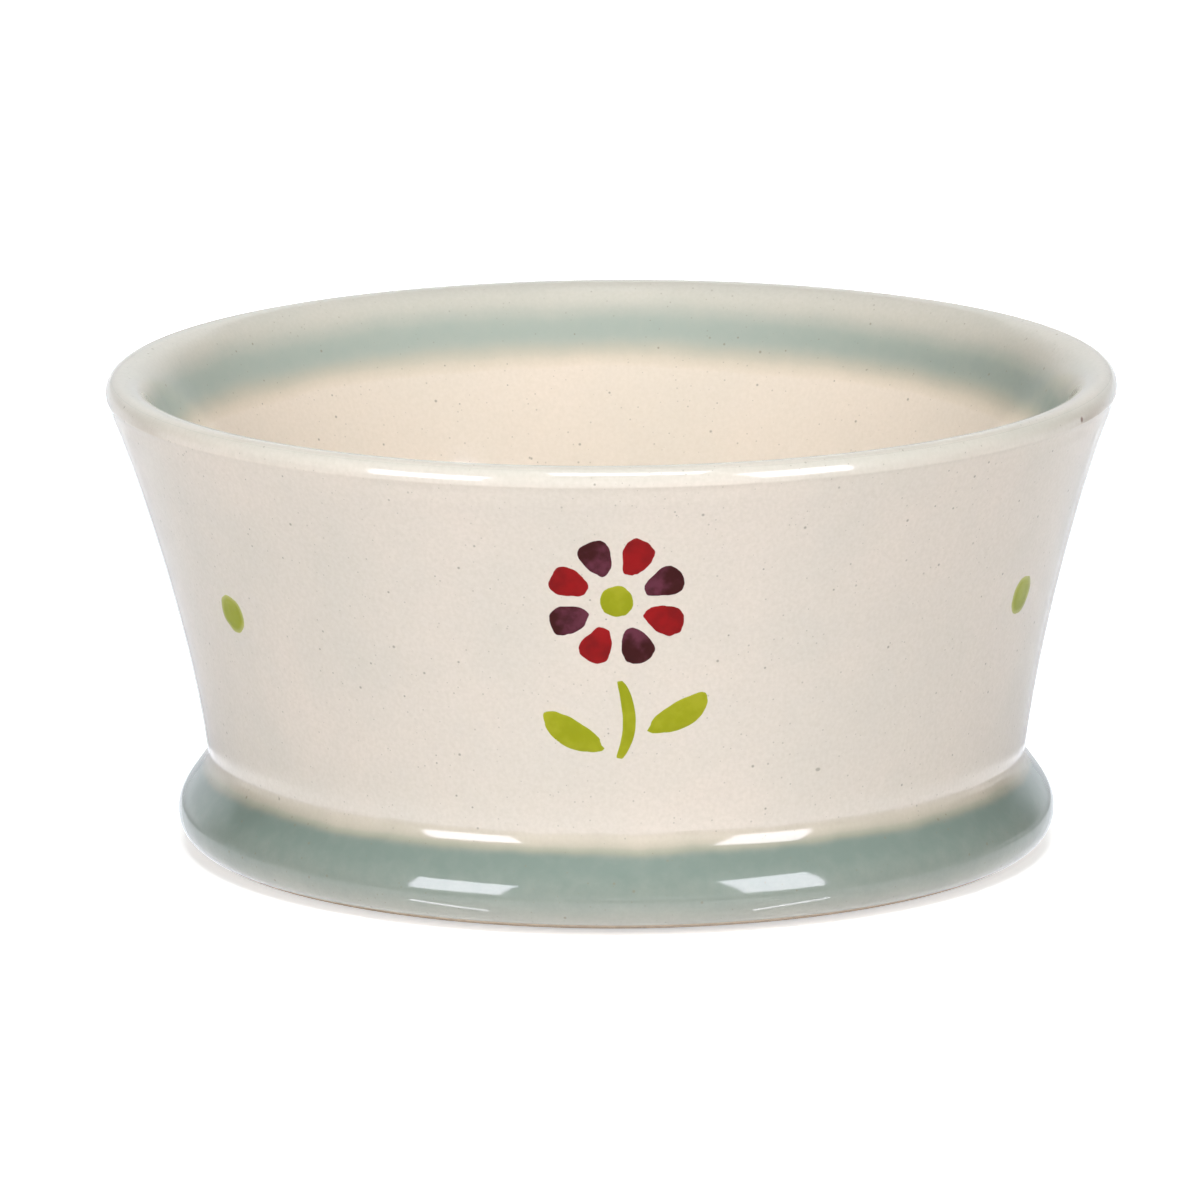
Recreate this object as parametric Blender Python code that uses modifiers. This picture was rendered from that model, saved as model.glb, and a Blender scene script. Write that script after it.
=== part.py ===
"""Ramekin: a flared earthenware bowl on a foot ring, with slip bands and painted flower sprigs.

Metres, +Z up. The origin is on the axis, at the height of the face that the foot stands on.
The first sprig faces -Y.
"""

import bisect
import math

import bpy
import numpy as np
from mathutils import Matrix, Vector
from mathutils.geometry import interpolate_bezier

# Outline of the glazed outside, from the lip down to the foot
RIM_DIAMETER = 0.100
HEIGHT = 0.0473
CREST_INSET = 0.0010
CREST_DROP = 0.0016
NECK_DROP = 0.0022
WALL_LEAN = math.radians(21.3)
WAIST_DIAMETER = 0.0812
WAIST_HEIGHT = 0.0093
WAIST_LEAN = math.radians(7.5)
FOOT_DIAMETER = 0.0871
FOOT_BULGE_HEIGHT = 0.0034
FOOT_LEAN = math.radians(26)
BASE_DIAMETER = 0.075

# Inside of the bowl, and the joint between the bowl's heel and the foot ring
LIP_WIDTH = 0.0038
LIP_SLOPE_DROP = 0.0024
WALL_THICKNESS = 0.0072
INSIDE_LEAN = math.radians(26)
INSIDE_LOW_LEAN = math.radians(10)
FLOOR_THICKNESS = 0.0046
FLOOR_CORNER = 0.0085
SHOULDER_WIDTH = 0.0045
RECESS_HEIGHT = 0.0032
STANDING_WIDTH = 0.0045
FOOT_EASE = 0.0006

# Slip bands, measured along the outline from the crest, the waist and the base
RIM_BAND_START = 0.0018
RIM_BAND_WIDTH = 0.0068
FOOT_BAND_START = 0.0006
FOOT_BAND_MARGIN = 0.0053

# Thickness of slip and paint, and the clearance between any two pieces that touch
SLIP_THICKNESS = 0.0003
CLEARANCE = 0.0003

# Painted decoration: dots halfway between sprigs, and the strokes of one sprig
SPRIG_COUNT = 3
SPRIG_RISE = 0.0028
DOT_DROP = 0.0008
DOT_TURN = math.radians(2.5)
DOT_DIAMETER = 0.0042
BLOOM_RISE = 0.0045
PETAL_COUNT = 8
PETAL_START = 0.0027
PETAL_LENGTH = 0.0044
PETAL_WIDTH = 0.0033
PETAL_WIDEST = 0.0027
CENTRE_DIAMETER = 0.0036
STEM_LENGTH = 0.0090
STEM_WIDTH = 0.0014
STEM_SWAY = 0.0012
LEAF_LENGTH = 0.0078
LEAF_WIDTH = 0.0032
LEAF_TILT = math.radians(58)
LEAF_DROPS = {"left": 0.0076, "right": 0.0058}
STROKE_SPACE = 0.0007

# Fullness of the curves: each handle's length as a share of its curve's span
QUARTER_ROUND = 0.552
WALL_PULLS = (0.24, 0.31)
INSIDE_PULLS = (0.62, 0.10)
FOOT_PULLS = (0.39, 0.33)
BASE_PULL = 0.70
NECK_PULLS = (0.50, 0.35)

# Fineness of the meshes
TURN_STEPS = 48
STROKE_STEPS = 4

# Finishes: colour as an sRGB hex value, and roughness
CREAM_GLAZE = ("E3DBD0", 0.18)
BLUE_SLIP = ("9AA9A1", 0.20)
PLUM_PAINT = ("4C2226", 0.30)
RED_PAINT = ("962224", 0.30)
GREEN_PAINT = ("A0A428", 0.30)

for leftover in list(bpy.data.objects):
    bpy.data.objects.remove(leftover)

PARTS = bpy.data.collections.new("ramekin")
bpy.context.scene.collection.children.link(PARTS)
ORIGIN = bpy.data.objects.new("ramekin_origin", None)
PARTS.objects.link(ORIGIN)


def linear(value):
    """One sRGB channel from 0 to 1, made linear."""
    return value / 12.92 if value <= 0.04045 else ((value + 0.055) / 1.055) ** 2.4


def make_material(name, finish):
    colour, roughness = finish
    channels = [linear(int(colour[i : i + 2], 16) / 255) for i in (0, 2, 4)]
    material = bpy.data.materials.new(name)
    material.use_nodes = True
    shader = material.node_tree.nodes["Principled BSDF"]
    shader.inputs["Base Color"].default_value = (*channels, 1)
    shader.inputs["Roughness"].default_value = roughness
    shader.inputs["Metallic"].default_value = 0
    material.diffuse_color = (*channels, 1)
    return material


# Paths in the plane of radius and height

def heading(angle):
    """Unit direction at an angle, anticlockwise from outwards."""
    return Vector((math.cos(angle), math.sin(angle)))


OUT = heading(0)
UP = heading(math.pi / 2)


def curve(start, start_handle, end, end_handle, steps):
    """Points of a smooth curve. The handles are offsets from their own ends."""
    return interpolate_bezier(start, start + start_handle, end + end_handle, end, steps + 1)


def joined(*paths):
    """One path through all the given ones, with each point where they meet kept once."""
    points = []
    for path in paths:
        for point in path:
            if not points or (point - points[-1]).length > 1e-7:
                points.append(point)
    return points


def lengths_along(path):
    lengths = [0.0]
    for a, b in zip(path, path[1:]):
        lengths.append(lengths[-1] + (b - a).length)
    return lengths


def between(path, start, end):
    """The stretch of a path between two lengths along it."""
    lengths = lengths_along(path)

    def at(length):
        i = min(max(bisect.bisect_right(lengths, length), 1), len(path) - 1)
        share = (length - lengths[i - 1]) / (lengths[i] - lengths[i - 1])
        return path[i - 1].lerp(path[i], share)

    inner = [point for point, length in zip(path, lengths) if start < length < end]
    return joined([at(start)], inner, [at(end)])


def sunk(path, depth):
    """The path moved into the clay, which lies to the right of the way it runs."""
    moved = []
    for i, point in enumerate(path):
        along = (path[min(i + 1, len(path) - 1)] - path[max(i - 1, 0)]).normalized()
        moved.append(point + Vector((along.y, -along.x)) * depth)
    return moved


def relieved(path, start, end):
    """The path with a shallow bed between two lengths along it, for a slip band to lie in."""
    bed = sunk(between(path, start, end), SLIP_THICKNESS + CLEARANCE)
    return joined(between(path, 0, start), bed, between(path, end, lengths_along(path)[-1]))


def band_section(path, start, end):
    """Closed section of a slip band whose face follows the path between two lengths."""
    face = between(path, start + CLEARANCE, end - CLEARANCE)
    return face + sunk(face, SLIP_THICKNESS)[::-1]


# The turned outline, in three paths that run on from one another

RIM_RADIUS = RIM_DIAMETER / 2
CREST = Vector((RIM_RADIUS - CREST_INSET, HEIGHT))
WIDEST = Vector((RIM_RADIUS, HEIGHT - CREST_DROP))
NECK = WIDEST - Vector((math.sin(WALL_LEAN), 1)) * NECK_DROP
WAIST = Vector((WAIST_DIAMETER / 2, WAIST_HEIGHT))
FLOOR_HEIGHT = RECESS_HEIGHT + CLEARANCE + FLOOR_THICKNESS
HEEL_RADIUS = WAIST.x - SHOULDER_WIDTH
UP_WALL = heading(math.pi / 2 - WALL_LEAN)
UP_WAIST = heading(math.pi / 2 - WAIST_LEAN)
UP_INSIDE = heading(math.pi / 2 - INSIDE_LEAN)
UP_INSIDE_LOW = heading(math.pi / 2 - INSIDE_LOW_LEAN)


def inside_path():
    """From the middle of the floor, up the inner wall and over the lip to its crest."""
    corner_top = Vector((0, FLOOR_HEIGHT + FLOOR_CORNER))
    corner_top.x = WAIST.x - WALL_THICKNESS + (corner_top.y - WAIST.y) * math.tan(WAIST_LEAN)
    corner_end = Vector((corner_top.x - FLOOR_CORNER, FLOOR_HEIGHT))
    corner_pull = FLOOR_CORNER * QUARTER_ROUND
    lip_edge = Vector((RIM_RADIUS - LIP_WIDTH, HEIGHT - LIP_SLOPE_DROP))
    top_pull, low_pull = (share * (lip_edge - corner_top).length for share in INSIDE_PULLS)
    lip_rise = UP_INSIDE * LIP_SLOPE_DROP * QUARTER_ROUND
    lip_run = OUT * (CREST.x - lip_edge.x) * QUARTER_ROUND
    return joined(
        [Vector((0, FLOOR_HEIGHT))],
        curve(corner_end, OUT * corner_pull, corner_top, -UP_INSIDE_LOW * corner_pull, 5),
        curve(corner_top, UP_INSIDE_LOW * low_pull, lip_edge, -UP_INSIDE * top_pull, 8),
        curve(lip_edge, lip_rise, CREST, -lip_run, 5),
    )


def outside_path():
    """From the crest of the lip, round its edge and down the flared wall to the waist."""
    top_pull, low_pull = (share * (WIDEST.y - WAIST.y) for share in WALL_PULLS)
    neck_start, neck_end = (share * NECK_DROP for share in NECK_PULLS)
    crest_run = OUT * CREST_INSET * QUARTER_ROUND
    crest_rise = UP * CREST_DROP * QUARTER_ROUND
    return joined(
        curve(CREST, crest_run, WIDEST, crest_rise, 3),
        curve(WIDEST, -UP * neck_start, NECK, UP_WALL * neck_end, 2),
        curve(NECK, -UP_WALL * top_pull, WAIST, UP_WAIST * low_pull, 9),
    )


def foot_path():
    """From just under the waist, out over the foot's bulge and in to the standing face."""
    top = WAIST - UP * CLEARANCE
    bulge = Vector((FOOT_DIAMETER / 2, FOOT_BULGE_HEIGHT))
    base = Vector((BASE_DIAMETER / 2, 0))
    top_pull, bulge_pull = (share * (bulge - top).length for share in FOOT_PULLS)
    down_foot = heading(FOOT_LEAN - math.pi / 2)
    base_rise = UP * bulge.y * BASE_PULL
    base_run = OUT * (bulge.x - base.x) * BASE_PULL
    return joined(
        curve(top, down_foot * top_pull, bulge, UP * bulge_pull, 6),
        curve(bulge, -base_rise, base, base_run, 6),
    )


INSIDE = inside_path()
OUTSIDE = outside_path()
FOOT = foot_path()
INSIDE_LENGTH = lengths_along(INSIDE)[-1]
RIM_BAND_SPAN = (INSIDE_LENGTH - RIM_BAND_START - RIM_BAND_WIDTH, INSIDE_LENGTH - RIM_BAND_START)
FOOT_BAND_SPAN = (FOOT_BAND_START, lengths_along(FOOT)[-1] - FOOT_BAND_MARGIN)
SPRIG_HEIGHT = (WAIST.y + NECK.y) / 2 + SPRIG_RISE


# Turned pieces

def add_object(name, mesh, material):
    piece = bpy.data.objects.new(name, mesh)
    if not mesh.materials:
        mesh.materials.append(material)
    PARTS.objects.link(piece)
    piece.parent = ORIGIN
    return piece


def add_turned(name, section, material, closed):
    """A solid of revolution about Z, from a section that runs down its outer side."""
    ends = list(range(1, len(section))) + ([0] if closed else [])
    mesh = bpy.data.meshes.new(name)
    mesh.from_pydata([(point.x, 0, point.y) for point in section], list(enumerate(ends)), [])
    screw = add_object(name, mesh, material).modifiers.new("Turn", "SCREW")
    screw.axis = "Z"
    screw.angle = 2 * math.pi
    screw.steps = TURN_STEPS
    screw.render_steps = TURN_STEPS
    screw.use_merge_vertices = True
    screw.merge_threshold = 1e-6
    screw.use_smooth_shade = True


def bowl_section():
    """Inside, lip and wall, then under the shoulder and down the heel that seats in the foot ring."""
    heel_height = RECESS_HEIGHT + CLEARANCE
    heel = [
        Vector((HEEL_RADIUS, WAIST.y)),
        Vector((HEEL_RADIUS, heel_height)),
        Vector((0, heel_height)),
    ]
    return joined(relieved(INSIDE, *RIM_BAND_SPAN), OUTSIDE, heel)


def foot_ring_section():
    """The foot's outer side, its standing face, and the ledge and socket that hold the heel."""
    standing_radius = BASE_DIAMETER / 2 - STANDING_WIDTH
    socket_radius = HEEL_RADIUS + CLEARANCE
    bore = [
        Vector((standing_radius + FOOT_EASE, 0)),
        Vector((standing_radius, FOOT_EASE)),
        Vector((standing_radius, RECESS_HEIGHT)),
        Vector((socket_radius, RECESS_HEIGHT)),
        Vector((socket_radius, FOOT[0].y)),
    ]
    return joined(relieved(FOOT, *FOOT_BAND_SPAN), bore)


# Painted strokes

def flat_stroke(points, sharp=()):
    """Filled outline through a few points, as a flat mesh. The points listed in sharp are corners."""
    outline = bpy.data.curves.new("stroke_outline", "CURVE")
    outline.dimensions = "2D"
    outline.fill_mode = "BOTH"
    outline.resolution_u = STROKE_STEPS
    spline = outline.splines.new("BEZIER")
    spline.bezier_points.add(len(points) - 1)
    spline.use_cyclic_u = True
    for i, (knot, point) in enumerate(zip(spline.bezier_points, points)):
        knot.co = (*point, 0)
        knot.handle_left_type = "VECTOR" if i in sharp else "AUTO"
        knot.handle_right_type = knot.handle_left_type
    guide = bpy.data.objects.new("stroke_outline", outline)
    PARTS.objects.link(guide)
    graph = bpy.context.evaluated_depsgraph_get()
    mesh = bpy.data.meshes.new_from_object(guide.evaluated_get(graph))
    bpy.data.objects.remove(guide)
    return mesh


def wall_radius(height):
    """Radius of the outer wall at a height."""
    upwards = OUTSIDE[::-1]
    return float(np.interp(height, [point.y for point in upwards], [point.x for point in upwards]))


def laid_on_wall(mesh, place=Vector((0, 0)), turn=0):
    """A flat stroke, turned, moved to its place in the sprig and bent round the wall at -Y."""
    middle_radius = wall_radius(SPRIG_HEIGHT)
    for vertex in mesh.vertices:
        flat = Matrix.Rotation(turn, 2) @ vertex.co.xy + place
        height = SPRIG_HEIGHT + flat.y
        angle = flat.x / middle_radius
        radius = wall_radius(height) + CLEARANCE
        vertex.co = (radius * math.sin(angle), -radius * math.cos(angle), height)
    return mesh


def disc(diameter):
    radius = diameter / 2
    return flat_stroke([(radius, 0), (0, radius), (-radius, 0), (0, -radius)])


def petal():
    """A drop that is narrow at the bloom's centre and round at its tip."""
    side = PETAL_WIDTH / 2
    return flat_stroke([(0, 0), (side, PETAL_WIDEST), (0, PETAL_LENGTH), (-side, PETAL_WIDEST)])


def leaf():
    """An almond, pointed at both ends."""
    side = LEAF_WIDTH / 2
    middle = LEAF_LENGTH / 2
    return flat_stroke([(0, 0), (side, middle), (0, LEAF_LENGTH), (-side, middle)], sharp=(0, 2))


def stem_middle(drop):
    """Sideways place of the stem's middle line at a drop below its top: a shallow bow."""
    share = drop / STEM_LENGTH
    return 4 * STEM_SWAY * share * (1 - share)


def stem():
    side = STEM_WIDTH / 2
    drops = [STEM_LENGTH * share for share in (0, 0.33, 0.67, 1)]
    left = [(stem_middle(drop) - side, -drop) for drop in drops]
    right = [(stem_middle(drop) + side, -drop) for drop in reversed(drops)]
    last = len(drops)
    return flat_stroke(left + right, sharp=(0, last - 1, last, 2 * last - 1))


def sprig_strokes():
    """The strokes of one sprig as name, mesh and material, laid on the wall at -Y."""
    bloom = Vector((0, BLOOM_RISE))
    for i in range(PETAL_COUNT):
        turn = -2 * math.pi * (i + 0.5) / PETAL_COUNT
        place = bloom + heading(turn + math.pi / 2) * PETAL_START
        yield f"petal_{i + 1}", laid_on_wall(petal(), place, turn), PLUM if i % 2 else RED
    yield "centre", laid_on_wall(disc(CENTRE_DIAMETER), bloom), GREEN

    stem_top = bloom - UP * (PETAL_START + PETAL_LENGTH + STROKE_SPACE)
    yield "stem", laid_on_wall(stem(), stem_top), GREEN
    for name, drop in LEAF_DROPS.items():
        side = 1 if name == "right" else -1
        aside = stem_middle(drop) + side * (STEM_WIDTH / 2 + STROKE_SPACE)
        place = stem_top + Vector((aside, -drop))
        yield f"leaf_{name}", laid_on_wall(leaf(), place, -side * LEAF_TILT), GREEN


def add_stroke(name, mesh, material, azimuth):
    """A stroke turned about the axis to its place round the wall, with the thickness of its paint."""
    stroke = add_object(name, mesh, material)
    stroke.rotation_euler.z = azimuth
    paint = stroke.modifiers.new("Paint", "SOLIDIFY")
    paint.thickness = SLIP_THICKNESS
    paint.offset = 1


CREAM = make_material("cream_glaze", CREAM_GLAZE)
BLUE = make_material("blue_slip", BLUE_SLIP)
PLUM = make_material("plum_paint", PLUM_PAINT)
RED = make_material("red_paint", RED_PAINT)
GREEN = make_material("green_paint", GREEN_PAINT)

add_turned("bowl", bowl_section(), CREAM, closed=False)
add_turned("foot_ring", foot_ring_section(), CREAM, closed=True)
add_turned("rim_band", band_section(INSIDE, *RIM_BAND_SPAN), BLUE, closed=True)
add_turned("foot_band", band_section(FOOT, *FOOT_BAND_SPAN), BLUE, closed=True)

STROKES = list(sprig_strokes())
DOT = laid_on_wall(disc(DOT_DIAMETER), -UP * DOT_DROP)
for i in range(SPRIG_COUNT):
    sprig_azimuth = 2 * math.pi * i / SPRIG_COUNT
    for stroke_name, stroke_mesh, stroke_material in STROKES:
        add_stroke(f"sprig_{i + 1}_{stroke_name}", stroke_mesh, stroke_material, sprig_azimuth)
    add_stroke(f"dot_{i + 1}", DOT, GREEN, sprig_azimuth + math.pi / SPRIG_COUNT + DOT_TURN)
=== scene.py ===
"""Looks of a small cream-glazed earthenware ramekin with slip bands and brushed strokes.

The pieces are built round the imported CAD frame, in metres, and the photograph's camera looks along +Y.
"""

import math

import bpy
from mathutils import Matrix, Vector
from mathutils.geometry import interpolate_bezier


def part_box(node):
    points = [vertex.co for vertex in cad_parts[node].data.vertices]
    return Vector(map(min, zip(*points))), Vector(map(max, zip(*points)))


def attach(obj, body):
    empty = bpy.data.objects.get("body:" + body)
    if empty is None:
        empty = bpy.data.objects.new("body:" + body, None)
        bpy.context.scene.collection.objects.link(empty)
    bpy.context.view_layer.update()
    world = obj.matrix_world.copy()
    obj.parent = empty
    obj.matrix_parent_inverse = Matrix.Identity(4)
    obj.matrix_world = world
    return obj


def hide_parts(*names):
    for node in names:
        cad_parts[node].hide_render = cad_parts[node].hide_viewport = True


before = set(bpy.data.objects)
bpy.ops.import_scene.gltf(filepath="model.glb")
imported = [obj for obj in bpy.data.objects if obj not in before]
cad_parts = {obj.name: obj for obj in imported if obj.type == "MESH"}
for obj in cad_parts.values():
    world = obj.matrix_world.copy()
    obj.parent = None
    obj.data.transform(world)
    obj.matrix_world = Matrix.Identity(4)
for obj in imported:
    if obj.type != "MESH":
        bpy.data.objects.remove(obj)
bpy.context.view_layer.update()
MM = 0.001

# Sizes of the turned clay. The rim, the height and the foot's bulge are read from the frame, and most
# others follow the CAD source. As the photograph shows, the lip's inward round and the inside wall are a
# little fuller than the CAD's, and a soft crease under the lip and a fillet at the waist are added.
RIM_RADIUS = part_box("bowl")[1].x
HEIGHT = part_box("bowl")[1].z
BULGE_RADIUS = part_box("foot_band")[1].x
CREST_INSET = 1.4 * MM
WIDEST_DROP = 1.5 * MM
CREASE_DROP = 2.0 * MM
CREASE_INSET = 0.08 * MM
CREASE_LEAN = 27.0
NECK_INSET = 0.68 * MM
NECK_DROP = 3.80 * MM
WALL_LEAN = 21.3
WAIST_RADIUS = 40.6 * MM
WAIST_HEIGHT = 9.3 * MM
WAIST_LEAN = 7.5
FILLET_UP = 0.55 * MM
FILLET_DOWN = 1.15 * MM
FOOT_LEAN = 26.0
BULGE_HEIGHT = 3.4 * MM
BASE_RADIUS = 37.5 * MM
STANDING_WIDTH = 4.5 * MM
FOOT_EASE = 0.6 * MM
EASE_MIDDLE = 0.18 * MM
BASE_EASE = 0.4 * MM
RECESS_HEIGHT = 3.2 * MM
HEEL_RADIUS = 36.1 * MM
HEEL_SPACE = 0.3 * MM
SHOULDER_SPACE = 0.1 * MM
FLOOR_HEIGHT = 8.1 * MM
FLOOR_CORNER = 8.5 * MM
WALL_THICKNESS = 7.9 * MM
INSIDE_LEAN = 26.0
INSIDE_LOW_LEAN = 10.0
LIP_WIDTH = 4.8 * MM
LIP_SLOPE_DROP = 3.0 * MM

# How far the handles of the outline's curves pull: lengths first, then shares of their own stretch
WALL_LOW_PULL = 11.3 * MM
WALL_TOP_PULL = 8.7 * MM
NECK_PULL = 0.6 * MM
CREASE_PULL = 0.22 * MM
WIDEST_PULL = 0.3 * MM
QUARTER_ROUND = 0.552
BASE_PULL = 0.70
BULGE_PULL = 0.33
WAIST_PULL = 0.39
FILLET_PULL = 0.36
INSIDE_TOP_PULL = 0.62
INSIDE_LOW_PULL = 0.10

# How far apart the outline's points lie on each stretch, and into how many steps its flat ones are cut
FOOT_SPACING = 0.2 * MM
FILLET_SPACING = 0.1 * MM
WALL_SPACING = 0.55 * MM
LIP_SPACING = 0.12 * MM
CREASE_SPACING = 0.06 * MM
SLOPE_SPACING = 0.16 * MM
INSIDE_SPACING = 0.5 * MM
CORNER_SPACING = 0.6 * MM
END_SPACING = 0.04 * MM
FLOOR_STEPS = 12
HEEL_STEPS = 8
LEAST_STEPS = 6
CURVE_OVER_CHORD = 1.05
SAME_PLACE = 1e-7

# Where the slip bands' edges lie, and how deep the bed under them is
FOOT_SLIP_BASE = 1.0 * MM
RIM_SLIP_START = -0.9 * MM
RIM_SLIP_END = 11.2 * MM
SLIP_THICKNESS = 0.22 * MM
BED_DEPTH = 0.34 * MM

# How finely the pieces are turned, from which angle an edge is sharp, and how close seams are closed
TURN_STEPS = 288
SHARP_EDGE = 40.0
TURNED_WELD = 2e-7

# Hand-turned unevenness: the rim stands a little out of level and off centre over the foot
TILT_ASIDE = math.tan(math.radians(0.29))
TILT_AHEAD = math.tan(math.radians(0.14))
RIM_SHIFT = -0.42 * MM
LEAN_FROM = 9.0 * MM
LEAN_TO = 49.0 * MM
WOBBLE = 0.09 * MM
WOBBLE_SEED = 4.7
WOBBLE_SCALE = 1.4
WOBBLE_RISE = 18.0
WOBBLE_NOISE = (0.2, 0.8)


# Node helpers

def add(tree, kind, inputs=(), **settings):
    """Adds a node with its settings. An input is a value, a socket, or a node, for its first output."""
    node = tree.nodes.new(kind)
    for name, value in settings.items():
        setattr(node, name, value)
    for key, value in dict(inputs).items():
        if isinstance(value, bpy.types.Node):
            value = next(socket for socket in value.outputs if socket.enabled)
        if isinstance(value, bpy.types.NodeSocket):
            tree.links.new(value, node.inputs[key])
        else:
            node.inputs[key].default_value = value
    return node


def new_tree(name, inputs):
    """A Geometry Nodes tree, the sockets that give its named inputs, and the inputs' identifiers."""
    tree = bpy.data.node_groups.new(name, "GeometryNodeTree")
    identifiers = {}
    for label, kind in inputs.items():
        socket = tree.interface.new_socket(label, in_out="INPUT", socket_type="NodeSocket" + kind)
        identifiers[label] = socket.identifier
    tree.interface.new_socket("Mesh", in_out="OUTPUT", socket_type="NodeSocketGeometry")
    return tree, tree.nodes.new("NodeGroupInput").outputs, identifiers


def new_object(name, data):
    """A new object in the scene."""
    made = bpy.data.objects.new(name, data)
    bpy.context.scene.collection.objects.link(made)
    return made


def plain_mesh(name, start, tree, identifiers, values):
    """Runs a tree on a start mesh and keeps the result as a plain mesh on an object of its own."""
    maker = new_object(name + "_maker", start)
    modifier = maker.modifiers.new("Make", "NODES")
    modifier.node_group = tree
    for label, value in values.items():
        modifier[identifiers[label]] = value
    made = bpy.data.meshes.new_from_object(maker.evaluated_get(bpy.context.evaluated_depsgraph_get()))
    maker.modifiers.remove(modifier)
    bpy.data.objects.remove(maker)
    made.name = name
    return new_object(name, made)


def finished(tree, shape, values, place, weld, material):
    """The shape with named values on its points, put in place, closed, smoothed, made real and painted."""
    for label, value in values.items():
        shape = add(
            tree,
            "GeometryNodeStoreNamedAttribute",
            {"Geometry": shape, "Name": label, "Value": value},
            data_type="FLOAT",
            domain="POINT",
        )
    placed = add(tree, "GeometryNodeSetPosition", {"Geometry": shape, "Position": place})
    closed = add(tree, "GeometryNodeMergeByDistance", {"Geometry": placed, "Distance": weld})
    smooth = add(tree, "GeometryNodeSetShadeSmooth", {"Geometry": closed})
    real = add(tree, "GeometryNodeRealizeInstances", {"Geometry": smooth})
    return add(tree, "GeometryNodeSetMaterial", {"Geometry": real, "Material": material})


def linear(code):
    """An sRGB hex colour as linear channels with alpha."""
    channels = [int(code[i : i + 2], 16) / 255 for i in (0, 2, 4)]
    return *(c / 12.92 if c <= 0.04045 else ((c + 0.055) / 1.055) ** 2.4 for c in channels), 1.0


# The turned outline, as a path in the plane of radius and height

def up_wall(lean):
    """Unit direction up a wall that leans outwards by an angle in degrees."""
    return Vector((math.sin(math.radians(lean)), math.cos(math.radians(lean))))


OUT = Vector((1, 0))
UP = Vector((0, 1))


def curve(start, start_handle, end, end_handle, spacing):
    """Points of a smooth curve, about a spacing apart. The handles are offsets from their own ends."""
    steps = max(LEAST_STEPS, round((end - start).length * CURVE_OVER_CHORD / spacing))
    return interpolate_bezier(start, start + start_handle, end + end_handle, end, steps + 1)


def joined(*paths):
    """One path through all the given ones, with each point where they meet kept once."""
    points = []
    for path in paths:
        for point in path:
            if not points or (point - points[-1]).length > SAME_PLACE:
                points.append(point)
    return points


def lengths_along(path):
    """The length from a path's start to each of its points."""
    lengths = [0.0]
    for a, b in zip(path, path[1:]):
        lengths.append(lengths[-1] + (b - a).length)
    return lengths


def at_length(path, length):
    """The point at a length along a path."""
    lengths = lengths_along(path)
    i = next((i for i in range(1, len(path) - 1) if lengths[i] >= length), len(path) - 1)
    share = (length - lengths[i - 1]) / (lengths[i] - lengths[i - 1])
    return path[i - 1].lerp(path[i], share)


def between(path, start, end):
    """The stretch of a path between two lengths, with close points at its ends for smooth shading."""
    low = start + 2 * END_SPACING
    high = end - 2 * END_SPACING
    inner = [point for point, length in zip(path, lengths_along(path)) if low < length < high]
    head = [at_length(path, start), at_length(path, start + END_SPACING)]
    tail = [at_length(path, end - END_SPACING), at_length(path, end)]
    return joined(head, inner, tail)


def sunk(path, depth):
    """The path moved into the clay, which lies to the left of the way it runs."""
    moved = []
    for i, point in enumerate(path):
        along = (path[min(i + 1, len(path) - 1)] - path[max(i - 1, 0)]).normalized()
        moved.append(point + Vector((-along.y, along.x)) * depth)
    return moved


def foot_up():
    """From the standing face, out round the foot's bulge and in to the waist."""
    base = Vector((BASE_RADIUS, 0))
    bulge = Vector((BULGE_RADIUS, BULGE_HEIGHT))
    waist = Vector((WAIST_RADIUS, WAIST_HEIGHT - HEEL_SPACE))
    base_out = OUT * (BULGE_RADIUS - BASE_RADIUS) * BASE_PULL
    bulge_down = -UP * BULGE_HEIGHT * BASE_PULL
    reach = (bulge - waist).length
    waist_down = up_wall(-FOOT_LEAN) * -reach * WAIST_PULL
    return joined(
        curve(base, base_out, bulge, bulge_down, FOOT_SPACING),
        curve(bulge, UP * reach * BULGE_PULL, waist, waist_down, FOOT_SPACING),
    )


def wall_up():
    """From the waist up the flared wall, over the soft crease under the lip and round to its crest."""
    waist = Vector((WAIST_RADIUS, WAIST_HEIGHT))
    neck = Vector((RIM_RADIUS - NECK_INSET, HEIGHT - NECK_DROP))
    crease = Vector((RIM_RADIUS - CREASE_INSET, HEIGHT - CREASE_DROP))
    widest = Vector((RIM_RADIUS, HEIGHT - WIDEST_DROP))
    crest = Vector((RIM_RADIUS - CREST_INSET, HEIGHT))
    top_bend = up_wall(WALL_LEAN)
    crease_bend = up_wall(CREASE_LEAN)
    crest_rise = UP * WIDEST_DROP * QUARTER_ROUND
    crest_run = OUT * CREST_INSET * QUARTER_ROUND
    return joined(
        curve(waist, up_wall(WAIST_LEAN) * WALL_LOW_PULL, neck, top_bend * -WALL_TOP_PULL, WALL_SPACING),
        curve(neck, top_bend * NECK_PULL, crease, crease_bend * -NECK_PULL, LIP_SPACING),
        curve(crease, crease_bend * CREASE_PULL, widest, -UP * WIDEST_PULL, CREASE_SPACING),
        curve(widest, crest_rise, crest, crest_run, LIP_SPACING),
    )


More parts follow.
